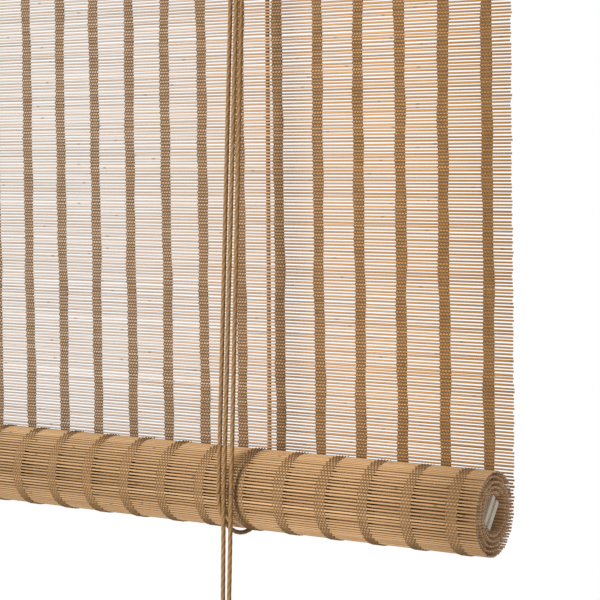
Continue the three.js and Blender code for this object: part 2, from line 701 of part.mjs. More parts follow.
// The left cord crosses to the lock; both turn down over its sheaves and leave past the guide posts.
const EXIT_Z = -LOCK_DROP;
const CLEAR_OF_SHEAVES = -SHEAVE_DROP - SHEAVE_RADIUS - CORD_RADIUS;
const crossing = [
  ...arcXZ(PULLEY_X, CROSSING_Y, -SHEAVE_DROP, CORD_ON_SHEAVE, 180, 90, 8),
  ...arcXZ(LOCK_X, CROSSING_Y, -SHEAVE_DROP, CORD_ON_SHEAVE, 90, -15, 8),
  [LOCK_X + 0.7 * CORD_ON_SHEAVE, CROSSING_Y, CLEAR_OF_SHEAVES],
  [EXIT_A_X + 0.6, EXIT_A_Y, -GUIDE_DROP + 4],
  [EXIT_A_X, EXIT_A_Y, -GUIDE_DROP],
  [EXIT_A_X, EXIT_A_Y, EXIT_Z],
];
put('crossing_cord', cord(crossing), 'cord');
const returning = [
  ...arcXZ(LOCK_X, RETURN_Y, -SHEAVE_DROP, CORD_ON_SHEAVE, 180, -15, 14),
  [LOCK_X + 0.8 * CORD_ON_SHEAVE, RETURN_Y, CLEAR_OF_SHEAVES],
  [EXIT_B_X + 0.6, EXIT_B_Y, -GUIDE_DROP + 4],
  [EXIT_B_X, EXIT_B_Y, -GUIDE_DROP],
  [EXIT_B_X, EXIT_B_Y, EXIT_Z],
];
put('lock_cord', cord(returning), 'cord');

// Pull cords: from the lock down past the roll's front, and on to the tassel.
function upperPull(exitX, exitY, x) {
  return cord([
    [exitX, exitY, EXIT_Z - GAP],
    [(exitX + x) / 2, (exitY + LOOP_FRONT) / 2, -(HANG + LOCK_DROP) / 2],
    [x, LOOP_FRONT, -HANG + GAP],
  ]);
}

function lowerPull(x, tasselX) {
  return cord([
    [x, LOOP_FRONT, -HANG],
    [tasselX, LOOP_FRONT, -TASSEL_TOP_DROP],
    [tasselX, LOOP_FRONT, -KNOT_TOP + GAP],
  ]);
}

put('pull_cord_upper_a', upperPull(EXIT_A_X, EXIT_A_Y, PULL_A), 'cord');
put('pull_cord_upper_b', upperPull(EXIT_B_X, EXIT_B_Y, PULL_B), 'cord');
put('pull_cord_lower_a', lowerPull(PULL_A, TASSEL_CORD_A), 'cord');
put('pull_cord_lower_b', lowerPull(PULL_B, TASSEL_CORD_B), 'cord');
put('cord_tassel', tassel(), 'wood', [TASSEL_X, LOOP_FRONT, -TASSEL_TOP_DROP]);
put('tassel_knot', tasselKnot(), 'cord', [TASSEL_X, LOOP_FRONT, -KNOT_TOP]);

export default blind;
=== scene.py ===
"""Roll-up blind of woven bamboo: its pieces, materials and stage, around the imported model."""

import json
import math

import bmesh
import bpy
import numpy as np
from bpy.props import FloatProperty, FloatVectorProperty, IntProperty, PointerProperty
from mathutils import Matrix, Vector


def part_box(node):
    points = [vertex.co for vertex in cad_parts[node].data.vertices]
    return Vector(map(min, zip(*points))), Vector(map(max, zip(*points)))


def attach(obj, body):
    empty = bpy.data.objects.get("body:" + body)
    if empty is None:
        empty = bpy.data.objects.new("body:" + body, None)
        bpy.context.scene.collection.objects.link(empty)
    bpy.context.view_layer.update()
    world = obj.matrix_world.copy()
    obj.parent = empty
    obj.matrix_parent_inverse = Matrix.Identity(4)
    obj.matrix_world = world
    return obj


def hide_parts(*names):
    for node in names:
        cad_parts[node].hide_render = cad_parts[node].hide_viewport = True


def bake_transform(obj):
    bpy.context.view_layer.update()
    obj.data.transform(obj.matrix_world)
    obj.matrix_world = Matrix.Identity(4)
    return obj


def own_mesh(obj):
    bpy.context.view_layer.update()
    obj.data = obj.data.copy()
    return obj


bl_info = {
    "name": "Bamboo roll-up blind",
    "version": (1, 0, 0),
    "blender": (4, 5, 0),
    "location": "View3D > Sidebar > Blind",
    "description": "Builds the visible pieces of a cord-operated bamboo roll-up blind",
    "category": "Add Mesh",
}

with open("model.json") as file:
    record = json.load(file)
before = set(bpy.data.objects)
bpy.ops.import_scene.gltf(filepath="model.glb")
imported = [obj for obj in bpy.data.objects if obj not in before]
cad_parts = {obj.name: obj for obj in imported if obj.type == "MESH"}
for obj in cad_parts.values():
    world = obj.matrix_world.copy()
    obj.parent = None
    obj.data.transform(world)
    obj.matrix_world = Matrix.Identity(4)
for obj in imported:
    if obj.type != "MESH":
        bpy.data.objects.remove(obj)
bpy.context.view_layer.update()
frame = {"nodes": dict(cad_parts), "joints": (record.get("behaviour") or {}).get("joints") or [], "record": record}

MM = 0.001
RECORD = frame["record"]
JOINTS = {joint["name"]: joint for joint in frame["joints"]}
BODY_OF = {node: body for body, nodes in RECORD["behaviour"]["bodies"].items() for node in nodes}
SLOT_OF = {part["node"]: part["material_slot"] for part in RECORD["subparts"]}

# Places that the frame gives.
MAT_LOW, MAT_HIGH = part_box("mat_hanging")
MAT_WIDTH = MAT_HIGH.x - MAT_LOW.x
MAT_Y = (MAT_LOW.y + MAT_HIGH.y) / 2
MAT_TOP = MAT_HIGH.z
ROLL_Y = JOINTS["roll_turn"]["pos_m"][1]
ROLL_Z = JOINTS["roll_turn"]["pos_m"][2]
ROLL_RADIUS = MAT_Y - ROLL_Y

# The roll's winding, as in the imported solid.
LAYER_PITCH = 2.5 * MM
FULL_TURNS = 4
BATTEN_TILT = math.radians(40)
BEND_RADIUS = 1.6 * MM
SLAT_HEIGHT = 16 * MM
TAIL_LENGTH = 0.95 * SLAT_HEIGHT


# ---------------------------------------------------------------- settings


def length(name, description, default):
    """A setting for a size, given in millimetres."""
    return FloatProperty(name=name, description=description, default=default * MM, unit="LENGTH")


def colour(name, description, default):
    return FloatVectorProperty(
        name=name, description=description, default=default, size=3, subtype="COLOR"
    )


def tint(name, description, default):
    """A setting for what a colour is multiplied by, which may pass 1."""
    return FloatVectorProperty(name=name, description=description, default=default, size=3)


def whole(name, description, default, least=None):
    """A setting for a count."""
    limits = {} if least is None else {"min": least}
    return IntProperty(name=name, description=description, default=default, **limits)


class MatSettings(bpy.types.PropertyGroup):
    """The woven mat."""

    stick_pitch: length("Stick pitch", "From one stick to the next", 1.7)
    stick_height: length("Stick height", "Of a stick, along the mat", 1.04)
    stick_thickness: length("Stick thickness", "Of a stick, through the mat", 0.9)
    stick_sides: whole("Stick sides", "Faces round a stick", 8, 6)
    stick_segments: whole("Stick segments", "Faces along a stick", 12, 4)
    raggedness: length("Raggedness", "How far the sticks' ends are out of line", 0.55)
    crookedness: length("Crookedness", "How far a stick strays from its row", 0.11)
    band_spacing: length("Band spacing", "From one woven band to the next", 24.91)
    first_band: length("First band", "From the mat's right edge", 14)
    band_count: whole("Bands", "Woven bands across the mat", 36, 2)
    band_width: length("Band width", "Of one woven band of threads", 6)
    band_threads: whole("Threads", "Threads side by side in a band", 8, 2)
    thread_rise: length("Thread rise", "How far a thread passes to each side of a stick", 0.66)
    thread_thickness: length("Thread thickness", "Of one thread", 0.55)
    pale_bamboo: colour("Pale bamboo", "Lighter fibres", (0.66, 0.47, 0.29))
    dark_bamboo: colour("Dark bamboo", "Darker fibres", (0.40, 0.235, 0.105))
    # Painted light and shade: a thread takes the pale colour on its crests and the dark colour at its feet, where
    # shade falls; fibre streaks also mix the two.
    pale_thread: colour("Pale thread", "Crest of a thread", (0.262, 0.152, 0.071))
    dark_thread: colour("Dark thread", "Foot of a thread", (0.087, 0.046, 0.018))
    sawn_end: colour("Sawn end", "Pith at a stick's end", (0.62, 0.42, 0.31))
    tail_trim: length("Tail trim", "How far the sticks stop short inside the batten", 3)
    # Painted light: the hanging sticks' colour is multiplied by these tints from left to right, paler and bluer at
    # the left and more golden at the right, in place of light that falls unevenly across the blind.
    left_painted_light: tint("Left painted light", "Of the hanging sticks at the left", (1.03, 1.3, 1.95))
    right_painted_light: tint("Right painted light", "Of the hanging sticks at the right", (1.04, 0.82, 0.45))
    seed: whole("Seed", "Of the sticks' differences", 7)


class CordSettings(bpy.types.PropertyGroup):
    """The twisted cords."""

    diameter: length("Diameter", "Of a cord", 2.4)
    strands: whole("Strands", "Twisted together", 3, 2)
    lay_length: length("Lay length", "Along the cord, for one turn of a strand", 15)
    groove: FloatProperty(
        name="Groove depth",
        description="Between the strands, as a share of the radius",
        default=0.08,
        min=0,
        max=0.5,
    )
    # Painted light and shade: the cord takes the pale colour on its strands and the dark colour in the grooves
    # between them, where shade falls.
    pale_fibre: colour("Pale fibre", "On the strands", (0.4, 0.24, 0.108))
    dark_fibre: colour("Dark fibre", "Between the strands", (0.235, 0.13, 0.054))


class FittingSettings(bpy.types.PropertyGroup):
    """The rail, batten and metal fittings."""

    wood_edge: length("Wood edge", "Rounding of the rail", 1.2)
    slat_edge: length("Slat edge", "Rounding of the slats", 0.7)
    metal_edge: length("Metal edge", "Rounding of pressed metal", 0.25)
    rail_wood: colour("Rail wood", "Varnished wood", (0.47, 0.27, 0.12))
    slat_wood: colour("Slat wood", "Planed bamboo", (0.80, 0.72, 0.58))
    tassel_wood: colour("Tassel wood", "Turned wood", (0.36, 0.19, 0.08))
    steel: colour("Steel", "Zinc plate", (0.66, 0.67, 0.68))
    nylon: colour("Nylon", "Moulded sheaves", (0.80, 0.77, 0.69))
    brass: colour("Brass", "Cast cam", (0.62, 0.46, 0.20))


class StageSettings(bpy.types.PropertyGroup):
    """Camera, lights and floor."""

    lens: FloatProperty(name="Lens", description="Focal length in millimetres", default=113.6)
    drop: FloatProperty(name="Shift", description="Vertical shift of the lens", default=-0.1228)
    fill: FloatProperty(
        name="Fill", description="Strength of the light from all round", default=0.5
    )
    key: FloatProperty(
        name="Key", description="Power of the large soft lamp in watts", default=64.0
    )
    floor_depth: FloatProperty(
        name="Floor", description="From the rail down to the floor", default=2.5, unit="LENGTH"
    )
    floor_radius: FloatProperty(
        name="Floor radius", description="Of the floor", default=4.5, unit="LENGTH"
    )


# ---------------------------------------------------------------- shader helpers


def node(tree, kind, inputs=None, **settings):
    """A shader node with its settings, and its inputs linked or set."""
    made = tree.nodes.new("ShaderNode" + kind)
    for key, value in settings.items():
        setattr(made, key, value)
    for key, value in (inputs or {}).items():
        join(tree, value, made.inputs[key])
    return made


def join(tree, value, socket):
    """Links a socket to an input, or sets the input to a value."""
    if isinstance(value, bpy.types.NodeSocket):
        tree.links.new(value, socket)
    elif socket.type == "RGBA" and len(value) == 3:
        socket.default_value = (*value, 1)
    else:
        socket.default_value = value


def calc(tree, operation, *values):
    made = node(tree, "Math", operation=operation)
    for value, socket in zip(values, made.inputs):
        join(tree, value, socket)
    return made.outputs[0]


def plus(tree, a, b):
    return calc(tree, "ADD", a, b)


def times(tree, a, b):
    return calc(tree, "MULTIPLY", a, b)


def over(tree, a, b):
    return calc(tree, "DIVIDE", a, b)


def mix(tree, share, a, b, blend="MIX"):
    made = node(tree, "Mix", data_type="RGBA", blend_type=blend)
    join(tree, share, made.inputs[0])
    join(tree, a, made.inputs[6])
    join(tree, b, made.inputs[7])
    return made.outputs[2]


def span(tree, value, low, high, to_low=0.0, to_high=1.0):
    """Eases a value from one range into another."""
    sockets = {"Value": value, "From Min": low, "From Max": high, "To Min": to_low, "To Max": to_high}
    return node(tree, "MapRange", sockets, interpolation_type="SMOOTHSTEP").outputs[0]


def combine(tree, x, y, z):
    return node(tree, "CombineXYZ", {"X": x, "Y": y, "Z": z}).outputs[0]


def noise(tree, vector, scale=1.0, detail=3.0, rough=0.55):
    sockets = {"Vector": vector, "Scale": scale, "Detail": detail, "Roughness": rough}
    return node(tree, "TexNoise", sockets).outputs[0]


def shade_group(name, inputs, outputs):
    """An empty node group with named inputs and outputs."""
    tree = bpy.data.node_groups.new(name, "ShaderNodeTree")
    for title, kind, default in inputs:
        socket = tree.interface.new_socket(title, in_out="INPUT", socket_type="NodeSocket" + kind)
        socket.default_value = default
    for title, kind in outputs:
        tree.interface.new_socket(title, in_out="OUTPUT", socket_type="NodeSocket" + kind)
    entry = tree.nodes.new("NodeGroupInput").outputs
    exit_node = tree.nodes.new("NodeGroupOutput")
    return tree, entry, exit_node.inputs


SURFACE = (("Color", "Color"), ("Roughness", "Float"), ("Height", "Float"))


def fibre_group():
    """Long fibres along a stick, slat or rail, with broad tone and fine streaks."""
    inputs = (
        ("Along", "Float", 0.0),
        ("Across", "Float", 0.0),
        ("Seed", "Float", 0.0),
        ("Fibre Length", "Float", 0.05),
        ("Fibre Width", "Float", 0.0004),
        ("Pale", "Color", (1, 1, 1, 1)),
        ("Dark", "Color", (0.5, 0.5, 0.5, 1)),
        ("Contrast", "Float", 1.0),
    )
    tree, entry, leave = shade_group("Fibre grain", inputs, SURFACE)
    seed = times(tree, entry["Seed"], 57.0)
    along = over(tree, entry["Along"], entry["Fibre Length"])
    across = over(tree, entry["Across"], entry["Fibre Width"])
    streak = noise(tree, combine(tree, along, across, seed), 1.0, 4.0, 0.62)
    broad_along = times(tree, along, 0.16)
    broad_across = times(tree, across, 0.09)
    tone = noise(tree, combine(tree, broad_along, broad_across, seed), 1.0, 2.0)
    blend = plus(tree, times(tree, streak, 0.6), times(tree, tone, 0.4))
    centred = times(tree, calc(tree, "SUBTRACT", blend, 0.5), entry["Contrast"])
    share = span(tree, centred, -0.22, 0.22)
    join(tree, mix(tree, share, entry["Pale"], entry["Dark"]), leave["Color"])
    join(tree, span(tree, streak, 0.3, 0.7, 0.42, 0.66), leave["Roughness"])
    join(tree, streak, leave["Height"])
    return tree


def thread_group():
    """Spun cotton: fine fibres laid round a strand, with painted shade that darkens it where strands meet and
    where it dips between sticks.
    """
    inputs = (
        ("Along", "Float", 0.0),
        ("Around", "Float", 0.0),
        ("Seed", "Float", 0.0),
        ("Crest", "Float", 1.0),
        ("Fibre Size", "Float", 0.0004),
        ("Pale", "Color", (1, 1, 1, 1)),
        ("Dark", "Color", (0.5, 0.5, 0.5, 1)),
    )
    tree, entry, leave = shade_group("Spun thread", inputs, SURFACE)
    along = over(tree, entry["Along"], entry["Fibre Size"])
    around = over(tree, entry["Around"], entry["Fibre Size"])
    slant = plus(tree, times(tree, along, 0.45), around)
    seed = entry["Seed"]
    fuzz = noise(tree, combine(tree, times(tree, along, 0.35), slant, seed), 1.0, 3.0, 0.6)
    patch_place = combine(tree, times(tree, along, 0.02), times(tree, around, 0.05), seed)
    patch = noise(tree, patch_place, 1.0, 2.0)
    # Painted light and shade: the crest, how far a point stands out, lightens the crests and darkens the feet and
    # grooves.
    crest = span(tree, entry["Crest"], 0.0, 1.0)
    light = times(tree, crest, span(tree, fuzz, 0.25, 0.7, 0.55, 1.0))
    faded = times(tree, light, span(tree, patch, 0.3, 0.7, 0.75, 1.1))
    join(tree, mix(tree, faded, entry["Dark"], entry["Pale"]), leave["Color"])
    join(tree, span(tree, fuzz, 0.3, 0.7, 0.82, 0.95), leave["Roughness"])
    join(tree, fuzz, leave["Height"])
    return tree


def worn_metal_group():
    """Plated or cast metal: rolled streaks, faint spangle and dull handling marks."""
    inputs = (
        ("Place", "Vector", (0, 0, 0)),
        ("Tone", "Color", (0.7, 0.7, 0.7, 1)),
        ("Polish", "Float", 0.3),
        ("Mark Size", "Float", 0.004),
    )
    tree, entry, leave = shade_group("Worn metal", inputs, SURFACE)
    per_mark = over(tree, 1.0, entry["Mark Size"])
    place = node(tree, "VectorMath", {0: entry["Place"]}, operation="SCALE")
    join(tree, per_mark, place.inputs["Scale"])
    spangle = node(tree, "TexVoronoi", {"Vector": place.outputs[0], "Scale": 1.6}, feature="F1")
    smear = noise(tree, place.outputs[0], 0.8, 5.0, 0.65)
    streaks = node(tree, "Mapping", {"Vector": place.outputs[0], "Scale": (0.3, 9.0, 9.0)})
    brushed = noise(tree, streaks.outputs[0], 1.0, 2.0)
    dull = span(tree, smear, 0.42, 0.68)
    spangled = node(tree, "SeparateColor", {"Color": spangle.outputs["Color"]}).outputs[0]
    tone = mix(tree, times(tree, spangled, 0.16), entry["Tone"], (0.30, 0.30, 0.31))
    join(tree, mix(tree, times(tree, dull, 0.35), tone, (0.24, 0.22, 0.20)), leave["Color"])
    rough = plus(tree, entry["Polish"], times(tree, dull, 0.22))
    join(tree, plus(tree, rough, times(tree, brushed, 0.08)), leave["Roughness"])
    join(tree, brushed, leave["Height"])
    return tree


def dust_group():
    """Fine dust and scuffs over another colour."""
    inputs = (
        ("Place", "Vector", (0, 0, 0)),
        ("Tone", "Color", (0.8, 0.8, 0.8, 1)),
        ("Amount", "Float", 0.3),
        ("Grain Size", "Float", 0.002),
    )
    tree, entry, leave = shade_group("Fine dust", inputs, SURFACE)
    place = node(tree, "VectorMath", {0: entry["Place"]}, operation="SCALE")
    join(tree, over(tree, 1.0, entry["Grain Size"]), place.inputs["Scale"])
    specks = noise(tree, place.outputs[0], 1.0, 6.0, 0.7)
    cloud = noise(tree, place.outputs[0], 0.12, 3.0)
    share = times(tree, span(tree, times(tree, specks, cloud), 0.2, 0.4), entry["Amount"])
    join(tree, mix(tree, share, entry["Tone"], (0.36, 0.33, 0.29)), leave["Color"])
    join(tree, span(tree, cloud, 0.3, 0.7, 0.38, 0.55), leave["Roughness"])
    join(tree, specks, leave["Height"])
    return tree


# Where along X the painted light on the mat changes from left to right, and the painted light tints of the rolled
# part from left to right: colour gradients in place of light falling unevenly across the blind.
PAINTED_LIGHT_SPAN = (0.16, 0.42)
# Painted light on the rolled sticks: darker towards the left and lighter towards the right, in place of light that
# falls off across the roll.
ROLL_PAINTED_LIGHT_TINTS = ((0.98, 0.94, 0.84), (1.2, 1.14, 1.02))

GROUP_MAKERS = {
    "Fibre grain": fibre_group,
    "Spun thread": thread_group,
    "Worn metal": worn_metal_group,
    "Fine dust": dust_group,
}


def use_group(tree, name, inputs):
    """A shared node group, made on its first use."""
    group = bpy.data.node_groups.get(name) or GROUP_MAKERS[name]()
    made = tree.nodes.new("ShaderNodeGroup")
    made.node_tree = group
    for key, value in inputs.items():
        join(tree, value, made.inputs[key])
    return made.outputs


def new_material(name, metallic=0.0, **constants):
    material = bpy.data.materials.new(name)
    material.use_nodes = True
    tree = material.node_tree
    shader = tree.nodes["Principled BSDF"]
    shader.inputs["Metallic"].default_value = metallic
    for key, value in constants.items():
        join(tree, value, shader.inputs[key.replace("_", " ")])
    return material, tree, shader.inputs


def bump(tree, height, strength, distance):
    sockets = {"Height": height, "Strength": strength, "Distance": distance}
    return node(tree, "Bump", sockets).outputs[0]


def dress(tree, surface, sockets, strength, distance, color=None):
    """Feeds a group's colour, roughness and height to the shader."""
    join(tree, color or surface["Color"], sockets["Base Color"])
    join(tree, surface["Roughness"], sockets["Roughness"])
    join(tree, bump(tree, surface["Height"], strength, distance), sockets["Normal"])


def attribute(tree, name):
    return node(tree, "Attribute", attribute_name=name).outputs["Fac"]


def object_place(tree):
    place = node(tree, "TexCoord").outputs["Object"]
    axes = node(tree, "SeparateXYZ", {0: place}).outputs
    return place, axes[0], axes[1], axes[2]


# ---------------------------------------------------------------- materials


def stick_material(name, left_painted_light, right_painted_light):
    """Split bamboo sticks; each row has its own tint, each stick has painted light and shade across it, and
    painted light changes the mat's tint from left to right.
    """
    settings = bpy.context.scene.blind_mat
    material, tree, sockets = new_material(name, Specular_IOR_Level=0.35)
    _, x, _, _ = object_place(tree)
    along_mat = attribute(tree, "along_mat")
    rows = over(tree, along_mat, settings.stick_pitch)
    row = calc(tree, "FLOOR", rows)
    within = calc(tree, "SUBTRACT", rows, row)
    chance = node(tree, "TexWhiteNoise", {"W": row}, noise_dimensions="1D").outputs
    fibres = {
        "Along": x,
        "Across": along_mat,
        "Seed": chance["Value"],
        "Fibre Length": 0.035,
        "Fibre Width": 0.00045,
        "Pale": tuple(settings.pale_bamboo),
        "Dark": tuple(settings.dark_bamboo),
        "Contrast": 0.9,
    }
    surface = use_group(tree, "Fibre grain", fibres)
    tint = mix(tree, chance["Value"], (0.82, 0.80, 0.78), (1.06, 1.05, 1.04))
    toned = mix(tree, 1.0, surface["Color"], tint, "MULTIPLY")
    # Painted light and shade across each stick: lighter at the edge that comes first along the mat from the rail,
    # darker at the edge further along.
    painted_shade_across_stick = mix(tree, span(tree, within, 0.12, 0.8), (1.14, 1.13, 1.12), (0.84, 0.80, 0.77))
    shaded = mix(tree, 1.0, toned, painted_shade_across_stick, "MULTIPLY")
    # Painted light: the colour changes from the left tint to the right tint along X, in place of light that
    # changes across the mat.
    painted_light_tint = mix(tree, span(tree, x, *PAINTED_LIGHT_SPAN), tuple(left_painted_light), tuple(right_painted_light))
    with_painted_light = mix(tree, 1.0, shaded, painted_light_tint, "MULTIPLY")
    # Growth rings of the cane, at a different place on each stick.
    offset = times(tree, chance["Value"], 7.3)
    ring = calc(tree, "FRACT", plus(tree, over(tree, x, 0.31), offset))
    near = calc(tree, "ABSOLUTE", calc(tree, "SUBTRACT", ring, 0.5))
    mark = times(tree, span(tree, near, 0.0, 0.006, 1.0, 0.0), 0.6)
    marked = mix(tree, mark, with_painted_light, tuple(0.5 * c for c in settings.dark_bamboo))
    # The sawn ends show paler pith than the stick's sides.
    normal = node(tree, "TexCoord").outputs["Normal"]
    sideways = calc(tree, "ABSOLUTE", node(tree, "SeparateXYZ", {0: normal}).outputs[0])
    color = mix(tree, span(tree, sideways, 0.7, 0.95), marked, tuple(settings.sawn_end))
    dress(tree, surface, sockets, 0.35, 0.0003, color)
    return material


def band_material(name, lift):
    """Brown cotton threads woven over and under the sticks; a lift above 1 makes a lighter copy of them, painted
    light for the bands on the roll.
    """
    settings = bpy.context.scene.blind_mat
    material, tree, sockets = new_material(name, Specular_IOR_Level=0.2)
    _, x, _, _ = object_place(tree)
    threads = {
        "Along": attribute(tree, "along_mat"),
        "Around": x,
        "Crest": attribute(tree, "crest"),
        "Fibre Size": 0.00035,
        "Pale": tuple(lift * c for c in settings.pale_thread),
        "Dark": tuple(lift * c for c in settings.dark_thread),
    }
    dress(tree, use_group(tree, "Spun thread", threads), sockets, 0.5, 0.0003)
    return material


def cord_material(name):
    """Brown cotton cord of three strands."""
    settings = bpy.context.scene.blind_cords
    material, tree, sockets = new_material(name, Specular_IOR_Level=0.2)
    threads = {
        "Along": attribute(tree, "along_cord"),
        "Around": attribute(tree, "around_cord"),
        "Crest": attribute(tree, "crest"),
        "Fibre Size": 0.0004,
        "Pale": tuple(settings.pale_fibre),
        "Dark": tuple(settings.dark_fibre),
    }
    dress(tree, use_group(tree, "Spun thread", threads), sockets, 0.6, 0.0003)
    return material


def wood_material(name, tone, fibre_length, fibre_width, contrast, coat, upright=False):
    """Wood or planed bamboo whose fibres run along X, or along Z where it stands upright."""
    constants = {"Specular_IOR_Level": 0.4, "Coat_Weight": coat, "Coat_Roughness": 0.25}
    material, tree, sockets = new_material(name, **constants)
    place, x, y, z = object_place(tree)
    along, other = (z, x) if upright else (x, z)
    across = plus(tree, times(tree, y, 1.3), other)
    fibres = {
        "Along": along,
        "Across": across,
        "Fibre Length": fibre_length,
        "Fibre Width": fibre_width,
        "Pale": tuple(min(1.0, 1.18 * c) for c in tone),
        "Dark": tuple(0.62 * c for c in tone),
        "Contrast": contrast,
    }
    surface = use_group(tree, "Fibre grain", fibres)
    dusty = use_group(tree, "Fine dust", {"Place": place, "Tone": surface["Color"], "Amount": 0.18})
    dress(tree, surface, sockets, 0.25, 0.0003, dusty["Color"])
    return material


def metal_material(name, tone, polish, mark_size):
    material, tree, sockets = new_material(name, metallic=1.0)
    place, _, _, _ = object_place(tree)
    worn = {"Place": place, "Tone": tuple(tone), "Polish": polish, "Mark Size": mark_size}
    dress(tree, use_group(tree, "Worn metal", worn), sockets, 0.15, 0.0001)
    return material


def nylon_material(name):
    settings = bpy.context.scene.blind_fittings
    material, tree, sockets = new_material(name, Specular_IOR_Level=0.5)
    place, _, _, _ = object_place(tree)
    dust = {"Place": place, "Tone": tuple(settings.nylon), "Amount": 0.45, "Grain Size": 0.0015}
    dress(tree, use_group(tree, "Fine dust", dust), sockets, 0.12, 0.0001)
    return material


def finish_for(slot):
    """The material of one of the record's slots, made on its first use."""
    fittings = bpy.context.scene.blind_fittings
    slat, rail, tassel = fittings.slat_wood, fittings.rail_wood, fittings.tassel_wood
    makers = {
        # The rolled sticks take tints of painted light from left to right.
        "bamboo": ("Split bamboo", stick_material, *ROLL_PAINTED_LIGHT_TINTS),
        "batten_wood": ("Planed bamboo", wood_material, slat, 0.06, 0.0006, 0.55, 0.0),
        "rail_wood": ("Varnished rail wood", wood_material, rail, 0.09, 0.0011, 0.9, 0.35),
        "tassel_wood": ("Turned tassel wood", wood_material, tassel, 0.02, 0.0007, 0.9, 0.5, True),
        "cord": ("Twisted cotton cord", cord_material),
        "bright_steel": ("Bright zinc", metal_material, fittings.steel, 0.2, 0.002),
        "plate_steel": ("Zinc plate", metal_material, fittings.steel, 0.3, 0.004),
        "sheave_plastic": ("Moulded nylon", nylon_material),
        "cam_brass": ("Cast brass", metal_material, fittings.brass, 0.34, 0.003),
    }
    name, maker, *values = makers[slot]
    return bpy.data.materials.get(name) or maker(name, *values)


# ---------------------------------------------------------------- pieces


def place_piece(mesh, name, nodes, material=None, sharp=math.radians(38)):
    """A finished object: it rides on its nodes' body, stands for them and takes their slot's finish."""
    made = bpy.data.objects.new(name, mesh)
    bpy.context.scene.collection.objects.link(made)
    mesh.materials.append(material or finish_for(SLOT_OF[nodes[0]]))
    if sharp is not None:
        mesh.polygons.foreach_set("use_smooth", [True] * len(mesh.polygons))
        mesh.set_sharp_from_angle(angle=sharp)
    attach(made, BODY_OF[nodes[0]])
    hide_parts(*nodes)
    return made


def spun(bm, angle, steps, axis=(0, 0, 1), rise=0.0, closed=False):
    """Sweeps the whole bmesh about an axis through the origin, rising at each step."""
    bmesh.ops.spin(
        bm,
        geom=list(bm.verts) + list(bm.edges),
        cent=(0, 0, 0),
        axis=axis,
        dvec=(0, 0, rise),
        angle=angle,
        steps=steps,
        use_merge=closed,
        use_duplicate=False,
    )


def middle_of(cad_node):
    low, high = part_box(cad_node)
    return (low + high) / 2


def mesh_from(bm, name):
    mesh = bpy.data.meshes.new(name)
    bm.to_mesh(mesh)
    bm.free()
    return mesh


def coordinates(mesh):
    co = np.empty(len(mesh.vertices) * 3)
    mesh.vertices.foreach_get("co", co)
    return co.reshape(-1, 3)


def set_coordinates(mesh, co):
    mesh.vertices.foreach_set("co", np.ascontiguousarray(co, dtype=np.float32).ravel())
    mesh.update()


def set_attribute(mesh, name, values):
    layer = mesh.attributes.new(name, "FLOAT", "POINT")
    layer.data.foreach_set("value", np.ascontiguousarray(values, dtype=np.float32))


def refined(name, cad_node, edge, sharp=math.radians(30), segments=2):
    """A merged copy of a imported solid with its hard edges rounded."""
    bm = bmesh.new()
    bm.from_mesh(frame["nodes"][cad_node].data)
    bmesh.ops.remove_doubles(bm, verts=bm.verts, dist=1e-6)
    bmesh.ops.dissolve_limit(
        bm, angle_limit=math.radians(1), use_dissolve_boundaries=False, verts=bm.verts, edges=bm.edges
    )
    hard = [e for e in bm.edges if len(e.link_faces) == 2 and e.calc_face_angle() > sharp]
    bmesh.ops.bevel(
        bm,
        geom=hard,
        offset=edge,
        offset_type="OFFSET",
        segments=segments,
        profile=0.5,
        affect="EDGES",
        clamp_overlap=True,
        material=-1,
    )
    bmesh.ops.triangulate(bm, faces=[f for f in bm.faces if len(f.verts) > 4])
    return place_piece(mesh_from(bm, name), name, [cad_node])


def turned(points, segments=40):
    """A bmesh turned about +Z, from [radius, height] points from axis to axis or round a wall."""
    bm = bmesh.new()
    verts = [bm.verts.new((radius, 0, height)) for radius, height in points]
    for pair in zip(verts, verts[1:]):
        bm.edges.new(pair)
    spun(bm, 2 * math.pi, segments, closed=True)
    bmesh.ops.remove_doubles(bm, verts=bm.verts, dist=1e-7)
    bmesh.ops.recalc_face_normals(bm, faces=bm.faces)
    return bm


def facing(place, direction):
    """Moves +Z at the origin to a direction at a place."""
    turn = Vector((0, 0, 1)).rotation_difference(Vector(direction)).to_matrix().to_4x4()
    return Matrix.Translation(Vector(place)) @ turn


# The usual wood screw, and the height of any screw's head.
SCREW_RADIUS = 1.6 * MM
SCREW_HEAD_RADIUS = 3.2 * MM
SCREW_HEAD = 1.6 * MM


